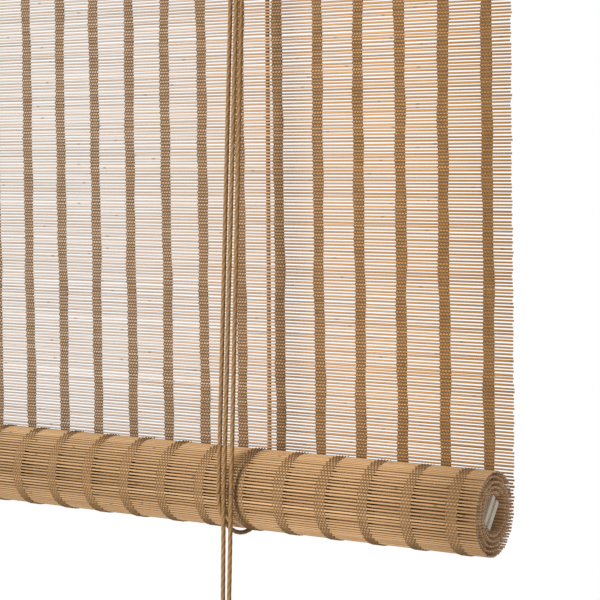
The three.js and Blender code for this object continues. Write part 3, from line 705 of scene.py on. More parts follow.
def screw(name, cad_node, length, radius, head_radius, seat, direction, round_head=False):
    """A slotted screw whose head's flat face, or underside where it is round, lies at its seat."""
    head = SCREW_HEAD
    if round_head:
        profile = [
            (0, length),
            (radius, length - 2 * radius),
            (radius, 0),
            (head_radius, 0),
            (head_radius, -0.45 * head),
            (0.9 * head_radius, -0.75 * head),
            (0.62 * head_radius, -head),
            (0, -head),
        ]
        profile = [(r, -h) for r, h in profile]
        top = head
    else:
        profile = [
            (0, -length),
            (radius, 2 * radius - length),
            (radius, -head),
            (0.97 * head_radius, -0.08 * MM),
            (0.97 * head_radius, 0),
            (0, 0),
        ]
        top = 0.0
    bm = turned(profile, 32)
    half_slot = 0.14 * head_radius
    reach = 0.8 * head_radius if not round_head else 0.56 * head_radius

    def on_top(face):
        return face.calc_center_median().z > top - 0.02 * MM and face.normal.z > 0.9

    sides = (((0, 1, 0), half_slot), ((0, -1, 0), half_slot), ((1, 0, 0), reach), ((-1, 0, 0), reach))
    for normal, distance in sides:
        faces = [f for f in bm.faces if on_top(f)]
        edges = list({e for f in faces for e in f.edges})
        verts = list({v for f in faces for v in f.verts})
        cut = {"plane_co": Vector(normal) * distance, "plane_no": normal}
        bmesh.ops.bisect_plane(bm, geom=faces + edges + verts, dist=1e-7, **cut)
    centres = [(f, f.calc_center_median()) for f in bm.faces if on_top(f)]
    slot_faces = [f for f, at in centres if abs(at.y) < half_slot and abs(at.x) < reach]
    pushed = bmesh.ops.extrude_face_region(bm, geom=slot_faces)
    moved = [v for v in pushed["geom"] if isinstance(v, bmesh.types.BMVert)]
    bmesh.ops.translate(bm, verts=moved, vec=(0, 0, -0.5 * head))
    bmesh.ops.delete(bm, geom=slot_faces, context="FACES")
    bmesh.ops.recalc_face_normals(bm, faces=bm.faces)
    bm.transform(facing(seat, direction))
    return place_piece(mesh_from(bm, name), name, [cad_node])


def bore_and_rim(outline):
    """Closes an outline of [radius, height] points round a wall."""
    return outline + [outline[0]]


# ---------------------------------------------------------------- cords


def along_route(route, distances):
    """Points and two cross directions at distances along a route."""
    route = np.array(route, float)
    steps = np.linalg.norm(np.diff(route, axis=0), axis=1)
    reach = np.concatenate([[0], np.cumsum(steps)])
    points = np.stack([np.interp(distances, reach, route[:, i]) for i in range(3)], axis=1)
    small = 1.5 * MM
    ahead = np.stack([np.interp(distances + small, reach, route[:, i]) for i in range(3)], axis=1)
    behind = np.stack([np.interp(distances - small, reach, route[:, i]) for i in range(3)], axis=1)
    heading = ahead - behind
    heading /= np.linalg.norm(heading, axis=1, keepdims=True)
    side = np.empty_like(heading)
    start = np.cross(heading[0], (0.2, 0.3, 1.0) if abs(heading[0][2]) < 0.8 else (1.0, 0.2, 0.1))
    side[0] = start / np.linalg.norm(start)
    for i in range(1, len(heading)):
        turned_side = side[i - 1] - heading[i] * np.dot(side[i - 1], heading[i])
        side[i] = turned_side / np.linalg.norm(turned_side)
    return points, side, np.cross(heading, side)


def route_length(route):
    return float(np.linalg.norm(np.diff(np.array(route, float), axis=0), axis=1).sum())


def twisted_tube(route, diameter):
    """A mesh of strands twisted together and laid along a route, with closed ends."""
    settings = bpy.context.scene.blind_cords
    length = route_length(route)
    sides = 4 * settings.strands
    turn_per_ring = math.radians(36)
    steps = max(4, round(length / (settings.lay_length * turn_per_ring / (2 * math.pi))))
    step = length / steps
    bm = bmesh.new()
    bmesh.ops.create_circle(bm, segments=sides, radius=1)
    for vert in bm.verts:
        angle = math.atan2(vert.co.y, vert.co.x)
        crest = 0.5 + 0.5 * math.cos(settings.strands * angle)
        vert.co *= 1 - settings.groove * (1 - crest)
    spun(bm, turn_per_ring * steps, steps, rise=1)
    ends = [e for e in bm.edges if e.is_boundary]
    bmesh.ops.holes_fill(bm, edges=ends, sides=sides)
    bmesh.ops.recalc_face_normals(bm, faces=bm.faces)
    mesh = mesh_from(bm, "cord")
    local = coordinates(mesh)
    rings = np.rint(local[:, 2]).astype(int)
    radius = np.hypot(local[:, 0], local[:, 1])
    points, side, other = along_route(route, np.arange(steps + 1) * step)
    half = diameter / 2
    co = points[rings] + half * (local[:, :1] * side[rings] + local[:, 1:2] * other[rings])
    set_coordinates(mesh, co)
    set_attribute(mesh, "along_cord", rings * step)
    set_attribute(mesh, "around_cord", half * np.arctan2(local[:, 1], local[:, 0]))
    # Painted shade: the crest, high on the strands and low in the grooves, lets the cord material darken the
    # grooves.
    set_attribute(mesh, "crest", (radius - (1 - settings.groove)) / max(settings.groove, 1e-6))
    return mesh


def cord_piece(cad_node, route):
    """One run of cord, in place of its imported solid."""
    mesh = twisted_tube(route, bpy.context.scene.blind_cords.diameter)
    return place_piece(mesh, "twisted_" + cad_node, [cad_node], sharp=math.radians(70))


def arc(centre_x, y, centre_z, radius, start, end, steps):
    """Points of an arc in the X-Z plane; angles run from +X towards +Z."""
    angles = [math.radians(start + (end - start) * i / steps) for i in range(steps + 1)]
    return [(centre_x + radius * math.cos(a), y, centre_z + radius * math.sin(a)) for a in angles]


def in_metres(points):
    return [tuple(MM * value for value in point) for point in points]


# The cords' routes, in millimetres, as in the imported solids.
GAP = 0.3
CORD_FROM_LAYER = 2.25
LIFT_X = 303.5
LOCK_OFFSET = 5.0
ROLL_DROP = 800.0
SHEAVE_Z = -36.0
LOOP_Y = 1000 * ROLL_Y
LOOP_RADIUS = 1000 * ROLL_RADIUS + CORD_FROM_LAYER
LOOP_BACK = LOOP_Y + LOOP_RADIUS
LOOP_FRONT = LOOP_Y - LOOP_RADIUS
CORD_ON_SHEAVE = 5.8
PULLEY_X = -LIFT_X + CORD_ON_SHEAVE
LOCK_X = LIFT_X + CORD_ON_SHEAVE + LOCK_OFFSET
PULL_A = LIFT_X + 3.3
PULL_B = LIFT_X + 7.9
EXIT_A = (LOCK_X + 4.0, -6.0)
EXIT_B = (LOCK_X + 0.7, 0.0)
LOCK_FOOT = -66.0
TASSEL_TOP = -940.0
TASSEL_CORD_A = PULL_A - 2.5
TASSEL_CORD_B = TASSEL_CORD_A + 2.7
TASSEL_X = (TASSEL_CORD_A + TASSEL_CORD_B) / 2
KNOT_TOP = TASSEL_TOP - 24.6
EYE_Y = 19.2
EYE_Z = -30.0
EYE_KNOT_LENGTH = 12.3
POST_TOP = -44.2
POST_FOOT = -58
POST_CLEAR = -62
BESIDE_POST = 0.6


def rear_route(side):
    """From the knot behind the mat down to the roll."""
    x = side * LIFT_X
    middle = (x, (EYE_Y + LOOP_BACK) / 2, -ROLL_DROP / 2)
    return in_metres([(x, EYE_Y, EYE_Z - EYE_KNOT_LENGTH), middle, (x, LOOP_BACK, GAP - ROLL_DROP)])


def loop_route(side):
    """Half way round the roll, from its back to its front."""
    angles = [math.pi * i / 32 for i in range(33)]
    places = [(LOOP_RADIUS * math.cos(a), LOOP_RADIUS * math.sin(a)) for a in angles]
    x = side * LIFT_X
    return in_metres([(x, LOOP_Y + across, -ROLL_DROP - below) for across, below in places])


def front_route(side):
    """From the roll's front up to the sheave."""
    x = side * LIFT_X
    lean = LOCK_OFFSET if side > 0 else 0.0
    top_y = 4.0 * side
    middle = (x + lean / 2, (LOOP_FRONT + top_y) / 2, (SHEAVE_Z - ROLL_DROP) / 2)
    foot, top = GAP - ROLL_DROP, SHEAVE_Z - GAP
    return in_metres([(x, LOOP_FRONT, foot), middle, (x + lean, top_y, top)])


def leave_lock(leave):
    """Past the guide post and out at the lock's foot."""
    x, y = leave
    return [(x + BESIDE_POST, y, POST_FOOT), (x, y, POST_CLEAR), (x, y, LOCK_FOOT)]


def crossing_route():
    """Over the left pulley, along under the rail, over the lock's front sheave and down."""
    return in_metres(
        arc(PULLEY_X, -4, SHEAVE_Z, CORD_ON_SHEAVE, 180, 90, 12)
        + arc(LOCK_X, -4, SHEAVE_Z, CORD_ON_SHEAVE, 90, -15, 12)
        + [(LOCK_X + 0.7 * CORD_ON_SHEAVE, -4, POST_TOP)]
        + leave_lock(EXIT_A)
    )


def lock_route():
    """Over the lock's back sheave and down past its post."""
    return in_metres(
        arc(LOCK_X, 4, SHEAVE_Z, CORD_ON_SHEAVE, 180, -15, 24)
        + [(LOCK_X + 0.8 * CORD_ON_SHEAVE, 4, POST_TOP)]
        + leave_lock(EXIT_B)
    )


def upper_pull_route(x, leave):
    """From the lock down past the roll's front."""
    exit_x, exit_y = leave
    middle = ((exit_x + x) / 2, (exit_y + LOOP_FRONT) / 2, -(ROLL_DROP - LOCK_FOOT) / 2)
    top = (exit_x, exit_y, LOCK_FOOT - GAP)
    return in_metres([top, middle, (x, LOOP_FRONT, GAP - ROLL_DROP)])


def lower_pull_route(x, tassel_x):
    """On down to the knot inside the tassel."""
    places = [(x, -ROLL_DROP), (tassel_x, TASSEL_TOP), (tassel_x, KNOT_TOP + GAP)]
    return in_metres([(across, LOOP_FRONT, height) for across, height in places])


def follow_lift(piece):
    """Gives a hanging piece its own copy of its mesh."""
    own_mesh(piece)


def wound_coil(radius, rise, turns, cord_radius, start_z, segments=20):
    """A bmesh of cord wound in a close coil about +Z, its ends closed."""
    bm = bmesh.new()
    made = bmesh.ops.create_circle(bm, segments=8, radius=cord_radius)
    turn = Matrix.Rotation(math.pi / 2, 3, "X")
    bmesh.ops.rotate(bm, verts=made["verts"], cent=(0, 0, 0), matrix=turn)
    bmesh.ops.translate(bm, verts=made["verts"], vec=(radius, 0, start_z))
    steps = round(segments * turns)
    spun(bm, 2 * math.pi * turns, steps, rise=rise / steps)
    bmesh.ops.holes_fill(bm, edges=[e for e in bm.edges if e.is_boundary], sides=8)
    bmesh.ops.recalc_face_normals(bm, faces=bm.faces)
    return bm


def ring(radius, wire, segments=32, sides=12):
    """A bmesh of a closed ring in the Y-Z plane."""
    bm = bmesh.new()
    made = bmesh.ops.create_circle(bm, segments=sides, radius=wire)
    bmesh.ops.translate(bm, verts=made["verts"], vec=(0, radius, 0))
    spun(bm, 2 * math.pi, segments, axis=(1, 0, 0), closed=True)
    bmesh.ops.recalc_face_normals(bm, faces=bm.faces)
    return bm


def combined(parts, name):
    """One mesh from several bmeshes, each freed."""
    whole = bmesh.new()
    for part in parts:
        scratch = bpy.data.meshes.new("scratch")
        part.to_mesh(scratch)
        part.free()
        whole.from_mesh(scratch)
        bpy.data.meshes.remove(scratch)
    return mesh_from(whole, name)


def mark_strand(mesh):
    """Cord attributes for a knot, read off its own shape."""
    co = coordinates(mesh)
    centre = co.mean(axis=0)
    set_attribute(mesh, "along_cord", co[:, 2] - centre[2])
    set_attribute(mesh, "around_cord", 2 * MM * np.arctan2(co[:, 1] - centre[1], co[:, 0] - centre[0]))
    normals = np.empty(len(mesh.vertices) * 3)
    mesh.vertices.foreach_get("normal", normals)
    outward = co - centre
    outward[:, 2] = 0
    outward /= np.maximum(np.linalg.norm(outward, axis=1, keepdims=True), 1e-9)
    facing_out = (normals.reshape(-1, 3) * outward).sum(axis=1)
    # Painted shade: faces that turn in towards the knot's middle get a low crest, so the cord material paints them
    # darker.
    set_attribute(mesh, "crest", np.clip(0.35 + 0.65 * facing_out, 0, 1))


# ---------------------------------------------------------------- mat


def around_axis(radius, angle):
    """Y and Z at an angle round the roll's axis, turning down from the back."""
    return np.stack([ROLL_Y + radius * np.cos(angle), ROLL_Z - radius * np.sin(angle)], axis=-1)


def interpolated(distance):
    return np.stack([np.interp(distance, WOUND, LINE[:, i]) for i in range(2)], axis=1)


def winding():
    """The mat's middle line in Y and Z, and the distance along it: 0 where the roll starts."""
    end = (2 * FULL_TURNS + 1.5) * math.pi + BATTEN_TILT
    core = ROLL_RADIUS
    for _ in range(20):
        lead = math.asin(BEND_RADIUS / (core - BEND_RADIUS))
        core = ROLL_RADIUS - LAYER_PITCH * (end - lead) / (2 * math.pi)
    end -= lead
    angles = np.linspace(0, end, 6000)
    radii = ROLL_RADIUS - LAYER_PITCH * angles / (2 * math.pi)
    spiral = around_axis(radii, angles)
    bend_reach = core - BEND_RADIUS
    bend_centre = around_axis(bend_reach, end)
    bend_angles = end + (math.pi / 2 + lead) * np.linspace(0, 1, 60)[1:]
    bend = bend_centre + BEND_RADIUS * np.stack([np.cos(bend_angles), -np.sin(bend_angles)], axis=1)
    inwards = np.array([-math.sin(BATTEN_TILT), -math.cos(BATTEN_TILT)])
    tail = bend[-1] + inwards * TAIL_LENGTH
    line = np.concatenate([[[MAT_Y, MAT_TOP]], spiral, bend, [tail]])
    reach = np.concatenate([[0], np.cumsum(np.linalg.norm(np.diff(line, axis=0), axis=1))])
    return reach - reach[1], line


WOUND, LINE = winding()
HANGING_LENGTH = -WOUND[0]
ROLLED_LENGTH = WOUND[-1]


def on_mat(distance):
    """Points of the mat's middle line, their headings and the side that faces the room."""
    step = 0.15 * MM
    points = interpolated(distance)
    heading = interpolated(distance + step) - interpolated(distance - step)
    heading /= np.linalg.norm(heading, axis=1, keepdims=True)
    front = np.stack([heading[:, 1], -heading[:, 0]], axis=1)
    return points, heading, front


def lay_on_mat(x, distance, along, out):
    """Coordinates from a place across the mat, a distance down it, and offsets along and out."""
    points, heading, front = on_mat(distance)
    flat = points + along[:, None] * heading + out[:, None] * front
    return np.stack([x, flat[:, 0], flat[:, 1]], axis=1)


def end_shift(distance):
    """How far a row is pushed along X: the mat runs to the right as it winds on to the roll."""
    settled = np.clip((distance + 0.25) / 0.25, 0, 1)
    wound = np.clip(distance / ROLLED_LENGTH, 0, 1)
    wobble = 0.5 * MM * np.sin(distance / 0.047 + 0.4) * np.clip(distance / 0.08, 0, 1)
    return 1.3 * MM * settled**2 * (3 - 2 * settled) + 0.5 * MM * wound + wobble


def stick_template(settings):
    """One stick along X, from -0.5 to 0.5, with unit radius."""
    bm = bmesh.new()
    bmesh.ops.create_cone(
        bm, cap_ends=True, cap_tris=False, segments=settings.stick_sides, radius1=1, radius2=1, depth=1
    )
    bmesh.ops.rotate(bm, verts=bm.verts, cent=(0, 0, 0), matrix=Matrix.Rotation(math.pi / 2, 3, "Y"))
    long_edges = [e for e in bm.edges if abs(e.verts[0].co.x - e.verts[1].co.x) > 0.5]
    bmesh.ops.subdivide_edges(bm, edges=long_edges, cuts=settings.stick_segments - 1)
    bm.normal_update()
    for face in bm.faces:
        face.smooth = abs(face.normal.x) < 0.5
    return mesh_from(bm, "stick")


def repeated(template, count, name):
    """A mesh that holds a template many times over."""
    bm = bmesh.new()
    for _ in range(count):
        bm.from_mesh(template)
    return mesh_from(bm, name)


def stick_rows(name, start, count, rng, evenness=1.0):
    """The sticks of one stretch of the mat; evenness below 1 brings their ends into line."""
    settings = bpy.context.scene.blind_mat
    template = stick_template(settings)
    local = coordinates(template)
    mesh = repeated(template, count, name)
    rows = start + (np.arange(count) + 0.5) * settings.stick_pitch
    size = len(local)
    share = np.tile(local[:, 0], count).reshape(count, size)
    around = np.tile(local[:, 1], count).reshape(count, size)
    through = np.tile(local[:, 2], count).reshape(count, size)
    left_end = rng.normal(0, 1, (count, 1)) * 0.5 * evenness * settings.raggedness
    right_end = rng.normal(0, 1, (count, 1)) * 0.5 * evenness * settings.raggedness
    both_ends = np.concatenate([left_end, right_end], axis=1)
    ends = np.clip(both_ends, -settings.raggedness, settings.raggedness)
    trimmed = np.where(rows > ROLLED_LENGTH - TAIL_LENGTH, settings.tail_trim, 0.0)[:, None]
    half = MAT_WIDTH / 2 - settings.raggedness - trimmed
    x = share * 2 * half + np.where(share < 0, ends[:, :1], ends[:, 1:]) * np.abs(2 * share)
    stray = np.zeros((count, size))
    lean = np.zeros((count, size))
    for waves in (1.3, 2.9, 5.1):
        phase = rng.uniform(0, 2 * math.pi, (count, 2))
        size_of = rng.normal(0, 1, (count, 2)) / waves**0.5
        stray += size_of[:, :1] * np.sin(2 * math.pi * waves * share + phase[:, :1])
        lean += size_of[:, 1:] * np.sin(2 * math.pi * waves * share + phase[:, 1:])
    stray = np.clip(settings.crookedness * stray, -0.22 * MM, 0.22 * MM)
    lean = np.clip(0.5 * settings.crookedness * lean, -0.12 * MM, 0.12 * MM)
    swell = 1 + 0.07 * rng.normal(0, 1, (count, 1))
    taper = 1 + 0.06 * np.sin(2 * math.pi * 1.7 * share + rng.uniform(0, 2 * math.pi, (count, 1)))
    along = around * settings.stick_height / 2 * np.clip(swell, 0.85, 1.15) * taper + stray
    out = through * settings.stick_thickness / 2 * np.clip(2 - swell, 0.9, 1.1) + lean
    distance = np.repeat(rows, size)
    x = x.ravel() + end_shift(distance)
    set_coordinates(mesh, lay_on_mat(x, distance, along.ravel(), out.ravel()))
    set_attribute(mesh, "along_mat", distance + 0.9 * around.ravel() * settings.stick_height / 2)
    bpy.data.meshes.remove(template)
    return mesh


def band_rows(name, start, count, bands, rng):
    """Woven bands over a stretch of the mat: threads that pass over and under each stick by turns."""
    settings = bpy.context.scene.blind_mat
    columns = settings.band_threads
    grid = bmesh.new()
    bmesh.ops.create_grid(grid, x_segments=columns - 1, y_segments=count - 1, size=0.5)
    template = mesh_from(grid, "band")
    local = coordinates(template)
    mesh = repeated(template, len(bands), name)
    column = np.rint((local[:, 0] + 0.5) * (columns - 1)).astype(int)
    row = np.rint((local[:, 1] + 0.5) * (count - 1)).astype(int)
    distance = start + (row + 0.5) * settings.stick_pitch
    over = np.where((column + row) % 2 == 0, 1.0, -1.0)
    # The sheet is thickened inwards from its front, so its middle starts half a thread out.
    out = over * settings.thread_rise + settings.thread_thickness / 2
    co = []
    for band in bands:
        middle = MAT_WIDTH / 2 - settings.first_band - band * settings.band_spacing
        sway = np.zeros(len(local))
        swell = np.ones(len(local))
        for period in (0.038, 0.083, 0.19):
            phase = 2 * math.pi * ((band * 0.618 + period * 31) % 1)
            sway += 0.16 * MM * np.sin(2 * math.pi * distance / period + phase)
            swell += 0.035 * np.sin(2 * math.pi * distance / (0.7 * period) + 2 * phase)
        loose = rng.normal(0, 0.05 * MM, len(local))
        x = middle + sway + loose + local[:, 0] * settings.band_width * swell
        height = out * rng.uniform(0.94, 1.04, len(local))
        co.append(lay_on_mat(x + end_shift(distance), distance, np.zeros(len(local)), height))
    set_coordinates(mesh, np.concatenate(co))
    set_attribute(mesh, "along_mat", np.tile(distance, len(bands)))
    bpy.data.meshes.remove(template)
    return thickened(mesh, settings.thread_thickness)


def thickened(mesh, thickness):
    """Gives a sheet its thickness, and marks its crests by how far out they stand, for painted shade at the
    threads' feet.
    """
    bm = bmesh.new()
    bm.from_mesh(mesh)
    bmesh.ops.reverse_faces(bm, faces=bm.faces)
    bm.normal_update()
    bmesh.ops.solidify(bm, geom=bm.faces, thickness=thickness)
    bm.to_mesh(mesh)
    bm.free()
    co = coordinates(mesh)
    layer = mesh.attributes["along_mat"]
    distance = np.empty(len(mesh.vertices))
    layer.data.foreach_get("value", distance)
    points, _, front = on_mat(distance)
    out = np.abs(((co[:, 1:] - points) * front).sum(axis=1))
    # Painted shade: the band material darkens the threads where this crest is low.
    set_attribute(mesh, "crest", np.clip(out / (0.9 * MM), 0, 1))
    return mesh


# ---------------------------------------------------------------- operators


# Where the camera stands, and how far it turns left, down and over, in degrees.
CAMERA_PLACE = (0.8634, -0.8365, -0.6242)
CAMERA_TURN = (32.29, 2.16, -0.33)
LAMP_PLACE = (-0.35, -2.45, -0.2)
LAMP_TARGET = (0.2, 0.0, -0.65)
LAMP_SIZE = 1.1


class BLIND_OT_camera(bpy.types.Operator):
    """Adds the camera, a little below the rail's height and to the right of the blind"""

    bl_idname = "blind.camera"
    bl_label = "Camera"

    def execute(self, context):
        settings = context.scene.blind_stage
        data = bpy.data.cameras.new("camera")
        data.lens = settings.lens
        data.sensor_width = 36
        data.shift_y = settings.drop
        data.clip_end = 100
        yaw, pitch, roll = (math.radians(angle) for angle in CAMERA_TURN)
        across, ahead, down = -math.sin(yaw), math.cos(yaw), -math.sin(pitch)
        forward = Vector((across * math.cos(pitch), ahead * math.cos(pitch), down))
        right = Vector((math.cos(yaw), math.sin(yaw), 0))
        up = right.cross(forward)
        turned_right = right * math.cos(roll) + up * math.sin(roll)
        turned_up = -right * math.sin(roll) + up * math.cos(roll)
        camera = bpy.data.objects.new("camera", data)
        context.scene.collection.objects.link(camera)
        turn = Matrix((turned_right, turned_up, -forward)).transposed().to_4x4()
        camera.matrix_world = Matrix.Translation(CAMERA_PLACE) @ turn
        context.scene.camera = camera
        return {"FINISHED"}


class BLIND_OT_pull_cords(bpy.types.Operator):
    """Adds the two pull cords, from the lock to the tassel"""

    bl_idname = "blind.pull_cords"
    bl_label = "Pull cords"

    def execute(self, context):
        for letter, x, leave, tassel_x, end, end_piece in (
            ("a", PULL_A, EXIT_A, TASSEL_CORD_A, "fitting", "turned_cord_tassel"),
            ("b", PULL_B, EXIT_B, TASSEL_CORD_B, "knot", "wound_tassel_knot"),
        ):
            upper = upper_pull_route(x, leave)
            above = cord_piece("pull_cord_upper_" + letter, upper)
            follow_lift(above)
            self.declare(above, upper, "object", [])
            lower = lower_pull_route(x, tassel_x)
            below = cord_piece("pull_cord_lower_" + letter, lower)
            below.parent = None
            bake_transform(below)
            self.declare(below, lower, end, [end_piece])
        return {"FINISHED"}

    def declare(self, piece, route, far_end, end_pieces):
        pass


class BLIND_OT_lift_cords(bpy.types.Operator):
    """Adds the two lift cords: behind the mat, round the roll, up the front and through the lock"""

    bl_idname = "blind.lift_cords"
    bl_label = "Lift cords"

    def execute(self, context):
        for side, name in ((-1, "left"), (1, "right")):
            rear = rear_route(side)
            follow_lift(cord_piece("lift_cord_rear_" + name, rear))
            cord_piece("lift_loop_" + name, loop_route(side))
            front = front_route(side)
            follow_lift(cord_piece("lift_cord_front_" + name, front))
        cord_piece("crossing_cord", crossing_route())
        cord_piece("lock_cord", lock_route())
        return {"FINISHED"}


class BLIND_OT_cord_ends(bpy.types.Operator):
    """Adds the eyes and knots behind the mat, the tassel and the knot in it"""

    bl_idname = "blind.cord_ends"
    bl_label = "Cord ends"

    def execute(self, context):
        for side, name in ((-1, "left"), (1, "right")):
            place = Matrix.Translation(MM * Vector((side * LIFT_X, EYE_Y, EYE_Z)))
            profile = [(0, 1.7), (0.8, 1.7), (0.8, 14.2), (0.3, 16.4), (0, 16.7)]
            shank = turned([(r * MM, h * MM) for r, h in profile], 16)
            eye = combined([ring(2 * MM, 0.8 * MM), shank], "screw_eye_" + name)
            eye.transform(place)
            place_piece(eye, "screw_eye_" + name, ["anchor_eye_" + name])
            loop = ring(2.4 * MM, 0.95 * MM)
            loop.transform(Matrix.Translation((0, 0, -2.3 * MM)) @ Matrix.Rotation(math.pi / 2, 4, "Z"))
            profile = [(0, -12), (1.15, -12), (1.15, -4.6), (0, -4.6)]
            core = turned([(r * MM, h * MM) for r, h in profile], 12)
            wraps = wound_coil(1.25 * MM, -5.2 * MM, 3.6, 0.82 * MM, -5.6 * MM)
            knot = combined([loop, core, wraps], "wound_knot_" + name)
            knot.transform(place)
            mark_strand(knot)
            place_piece(knot, "wound_knot_" + name, ["lift_knot_" + name], sharp=math.radians(70))
        self.add_tassel()
        return {"FINISHED"}

    def add_tassel(self):
        """The turned bell on the pull cords' ends, with its knot."""
        outline = [
            (5.3, -42.0), (7.9, -42.0), (8.5, -41.4), (8.5, -39.6), (8.1, -39.1), (8.1, -38.7),
            (8.45, -38.2), (8.3, -35.0), (7.95, -29.4), (7.5, -24.0), (6.9, -19.0), (6.15, -14.7),
            (5.6, -11.5), (5.2, -9.4), (4.7, -8.9), (4.7, -8.4), (5.25, -7.8), (5.3, -6.4),
            (4.9, -5.4), (4.6, -4.2), (4.45, -2.0), (4.3, -0.7), (3.9, 0.0), (3.0, 0.0),
            (3.0, -21.1), (5.27, -23.1),
        ]
        bell = turned([(r * MM, h * MM) for r, h in bore_and_rim(outline)], 64)
        bell.transform(Matrix.Translation(MM * Vector((TASSEL_X, LOOP_FRONT, TASSEL_TOP))))
        place_piece(mesh_from(bell, "turned_cord_tassel"), "turned_cord_tassel", ["cord_tassel"])
        knot_core = turned([(0, -8), (2.2, -7.4), (3.1, -5.0), (3.1, -2.4), (2.0, -0.4), (0, 0)], 24)
        knot_core.transform(Matrix.Scale(MM, 4))
        wraps = wound_coil(2.75 * MM, -4.6 * MM, 2.4, 1.15 * MM, -1.7 * MM)
        knot = combined([knot_core, wraps], "wound_tassel_knot")
        knot.transform(Matrix.Translation(MM * Vector((TASSEL_X, LOOP_FRONT, KNOT_TOP))))
        mark_strand(knot)
        place_piece(knot, "wound_tassel_knot", ["tassel_knot"], sharp=math.radians(70))


# The mat's side that shows on the roll: how much lighter its bands are painted, as painted light, and how even its
# sticks' ends are.
ROLL_BAND_PAINTED_LIGHT = 1.25
ROLL_EVENNESS = 0.5


class BLIND_OT_mat(bpy.types.Operator):
    """Adds the woven mat: the sticks and bands that hang, and those wound on the roll"""

    bl_idname = "blind.mat"
    bl_label = "Woven mat"

    def execute(self, context):
        settings = context.scene.blind_mat
        rng = np.random.default_rng(settings.seed)
        hanging_rows = int(HANGING_LENGTH / settings.stick_pitch)
        rolled_rows = int(ROLLED_LENGTH / settings.stick_pitch)
        top = -hanging_rows * settings.stick_pitch
        woven = band_material("Woven cotton band", 1.0)
        # A lighter copy of the band material: painted light for the bands on the roll.
        back = band_material("Woven cotton band, painted light on roll", ROLL_BAND_PAINTED_LIGHT)
        # The hanging sticks' material, with painted light from left to right.
        painted_light_bamboo = stick_material("Hanging bamboo with painted light", settings.left_painted_light, settings.right_painted_light)
        hanging = stick_rows("hanging_sticks", top, hanging_rows, rng)
        sticks = place_piece(hanging, "hanging_sticks", ["mat_hanging"], painted_light_bamboo, None)
        wound_up = stick_rows("rolled_sticks", 0.0, rolled_rows, rng, ROLL_EVENNESS)
        rolled = place_piece(wound_up, "rolled_sticks", ["mat_roll"], sharp=None)
        hung = self.add_bands("hanging_bands", "mat_hanging", 3, top, hanging_rows, rng, woven)
        wound = self.add_bands("rolled_bands", "mat_roll", 2, 0.0, rolled_rows, rng, back)
        for piece in [sticks] + hung:
            follow_lift(piece)
        return {"FINISHED"}

    def add_bands(self, name, cad_node, parts, start, count, rng, material):
        """The bands over one stretch of the mat, shared among several pieces."""
        band_count = bpy.context.scene.blind_mat.band_count
        made = []
        for i, bands in enumerate(np.array_split(range(band_count), parts), 1):
            mesh = band_rows(f"{name}_{i}", start, count, bands, rng)
            piece = place_piece(mesh, mesh.name, [cad_node], material, sharp=math.radians(80))
            made.append(piece)
        return made


class BLIND_OT_batten(bpy.types.Operator):
    """Adds the bottom batten's two slats and their screws, inside the roll"""

    bl_idname = "blind.batten"
    bl_label = "Batten"

    def execute(self, context):
        edge = context.scene.blind_fittings.slat_edge
        refined("planed_slat_front", "batten_front", edge, segments=3)
        refined("planed_slat_back", "batten_back", edge, segments=3)
        outward = Vector((0, math.cos(BATTEN_TILT), -math.sin(BATTEN_TILT)))
        for i in range(1, 4):
            low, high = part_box(f"batten_screw_{i}")
            seat = Vector(((low.x + high.x) / 2, ROLL_Y, ROLL_Z)) + 4.05 * MM * outward
            sizes = (7.8 * MM, 1.2 * MM, 2.4 * MM)
            screw(f"slat_screw_{i}", f"batten_screw_{i}", *sizes, seat, outward)
        return {"FINISHED"}


class BLIND_OT_head(bpy.types.Operator):
    """Adds the head rail, the lath that clamps the mat to it, and their screws"""

    bl_idname = "blind.head"
    bl_label = "Head rail"

    def execute(self, context):
        settings = context.scene.blind_fittings
        refined("varnished_rail", "head_rail", settings.wood_edge, segments=3)
        refined("varnished_lath", "mat_clamp_lath", settings.slat_edge)
        for i in range(1, 6):
            low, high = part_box(f"clamp_screw_{i}")
            seat = ((low.x + high.x) / 2, high.y, (low.z + high.z) / 2)
            sizes = (high.y - low.y, SCREW_RADIUS, SCREW_HEAD_RADIUS)
            screw(f"lath_screw_{i}", f"clamp_screw_{i}", *sizes, seat, (0, 1, 0))
        return {"FINISHED"}


class BLIND_OT_brackets(bpy.types.Operator):
    """Adds the two wall brackets and the screws that hold the rail to them"""

    bl_idname = "blind.brackets"
    bl_label = "Brackets"

    def execute(self, context):
        edge = context.scene.blind_fittings.metal_edge
        for side in ("left", "right"):
            refined("plated_bracket_" + side, "bracket_" + side, edge)
            low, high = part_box("bracket_screw_" + side)
            seat = ((low.x + high.x) / 2, (low.y + high.y) / 2, low.z)
            sizes = (high.z - low.z, SCREW_RADIUS, SCREW_HEAD_RADIUS)
            screw("rail_screw_" + side, "bracket_screw_" + side, *sizes, seat, (0, 0, -1))
        return {"FINISHED"}


def add_sheave(name, cad_node):
    """A grooved nylon wheel with a hub and lightening recess."""
    half = [
        (1.8, -3.0), (2.9, -3.0), (3.1, -2.8), (3.1, -2.45), (5.2, -2.45), (5.5, -2.8), (5.8, -3.0),
        (6.8, -3.0), (7.0, -2.8), (7.0, -2.3), (5.9, -1.6), (4.7, -1.15), (4.3, -0.6),
    ]
    outline = half + [(radius, -height) for radius, height in reversed(half)]
    bm = turned([(r * MM, h * MM) for r, h in bore_and_rim(outline)], 56)
    bm.transform(facing(middle_of(cad_node), (0, 1, 0)))
    place_piece(mesh_from(bm, name), name, [cad_node])


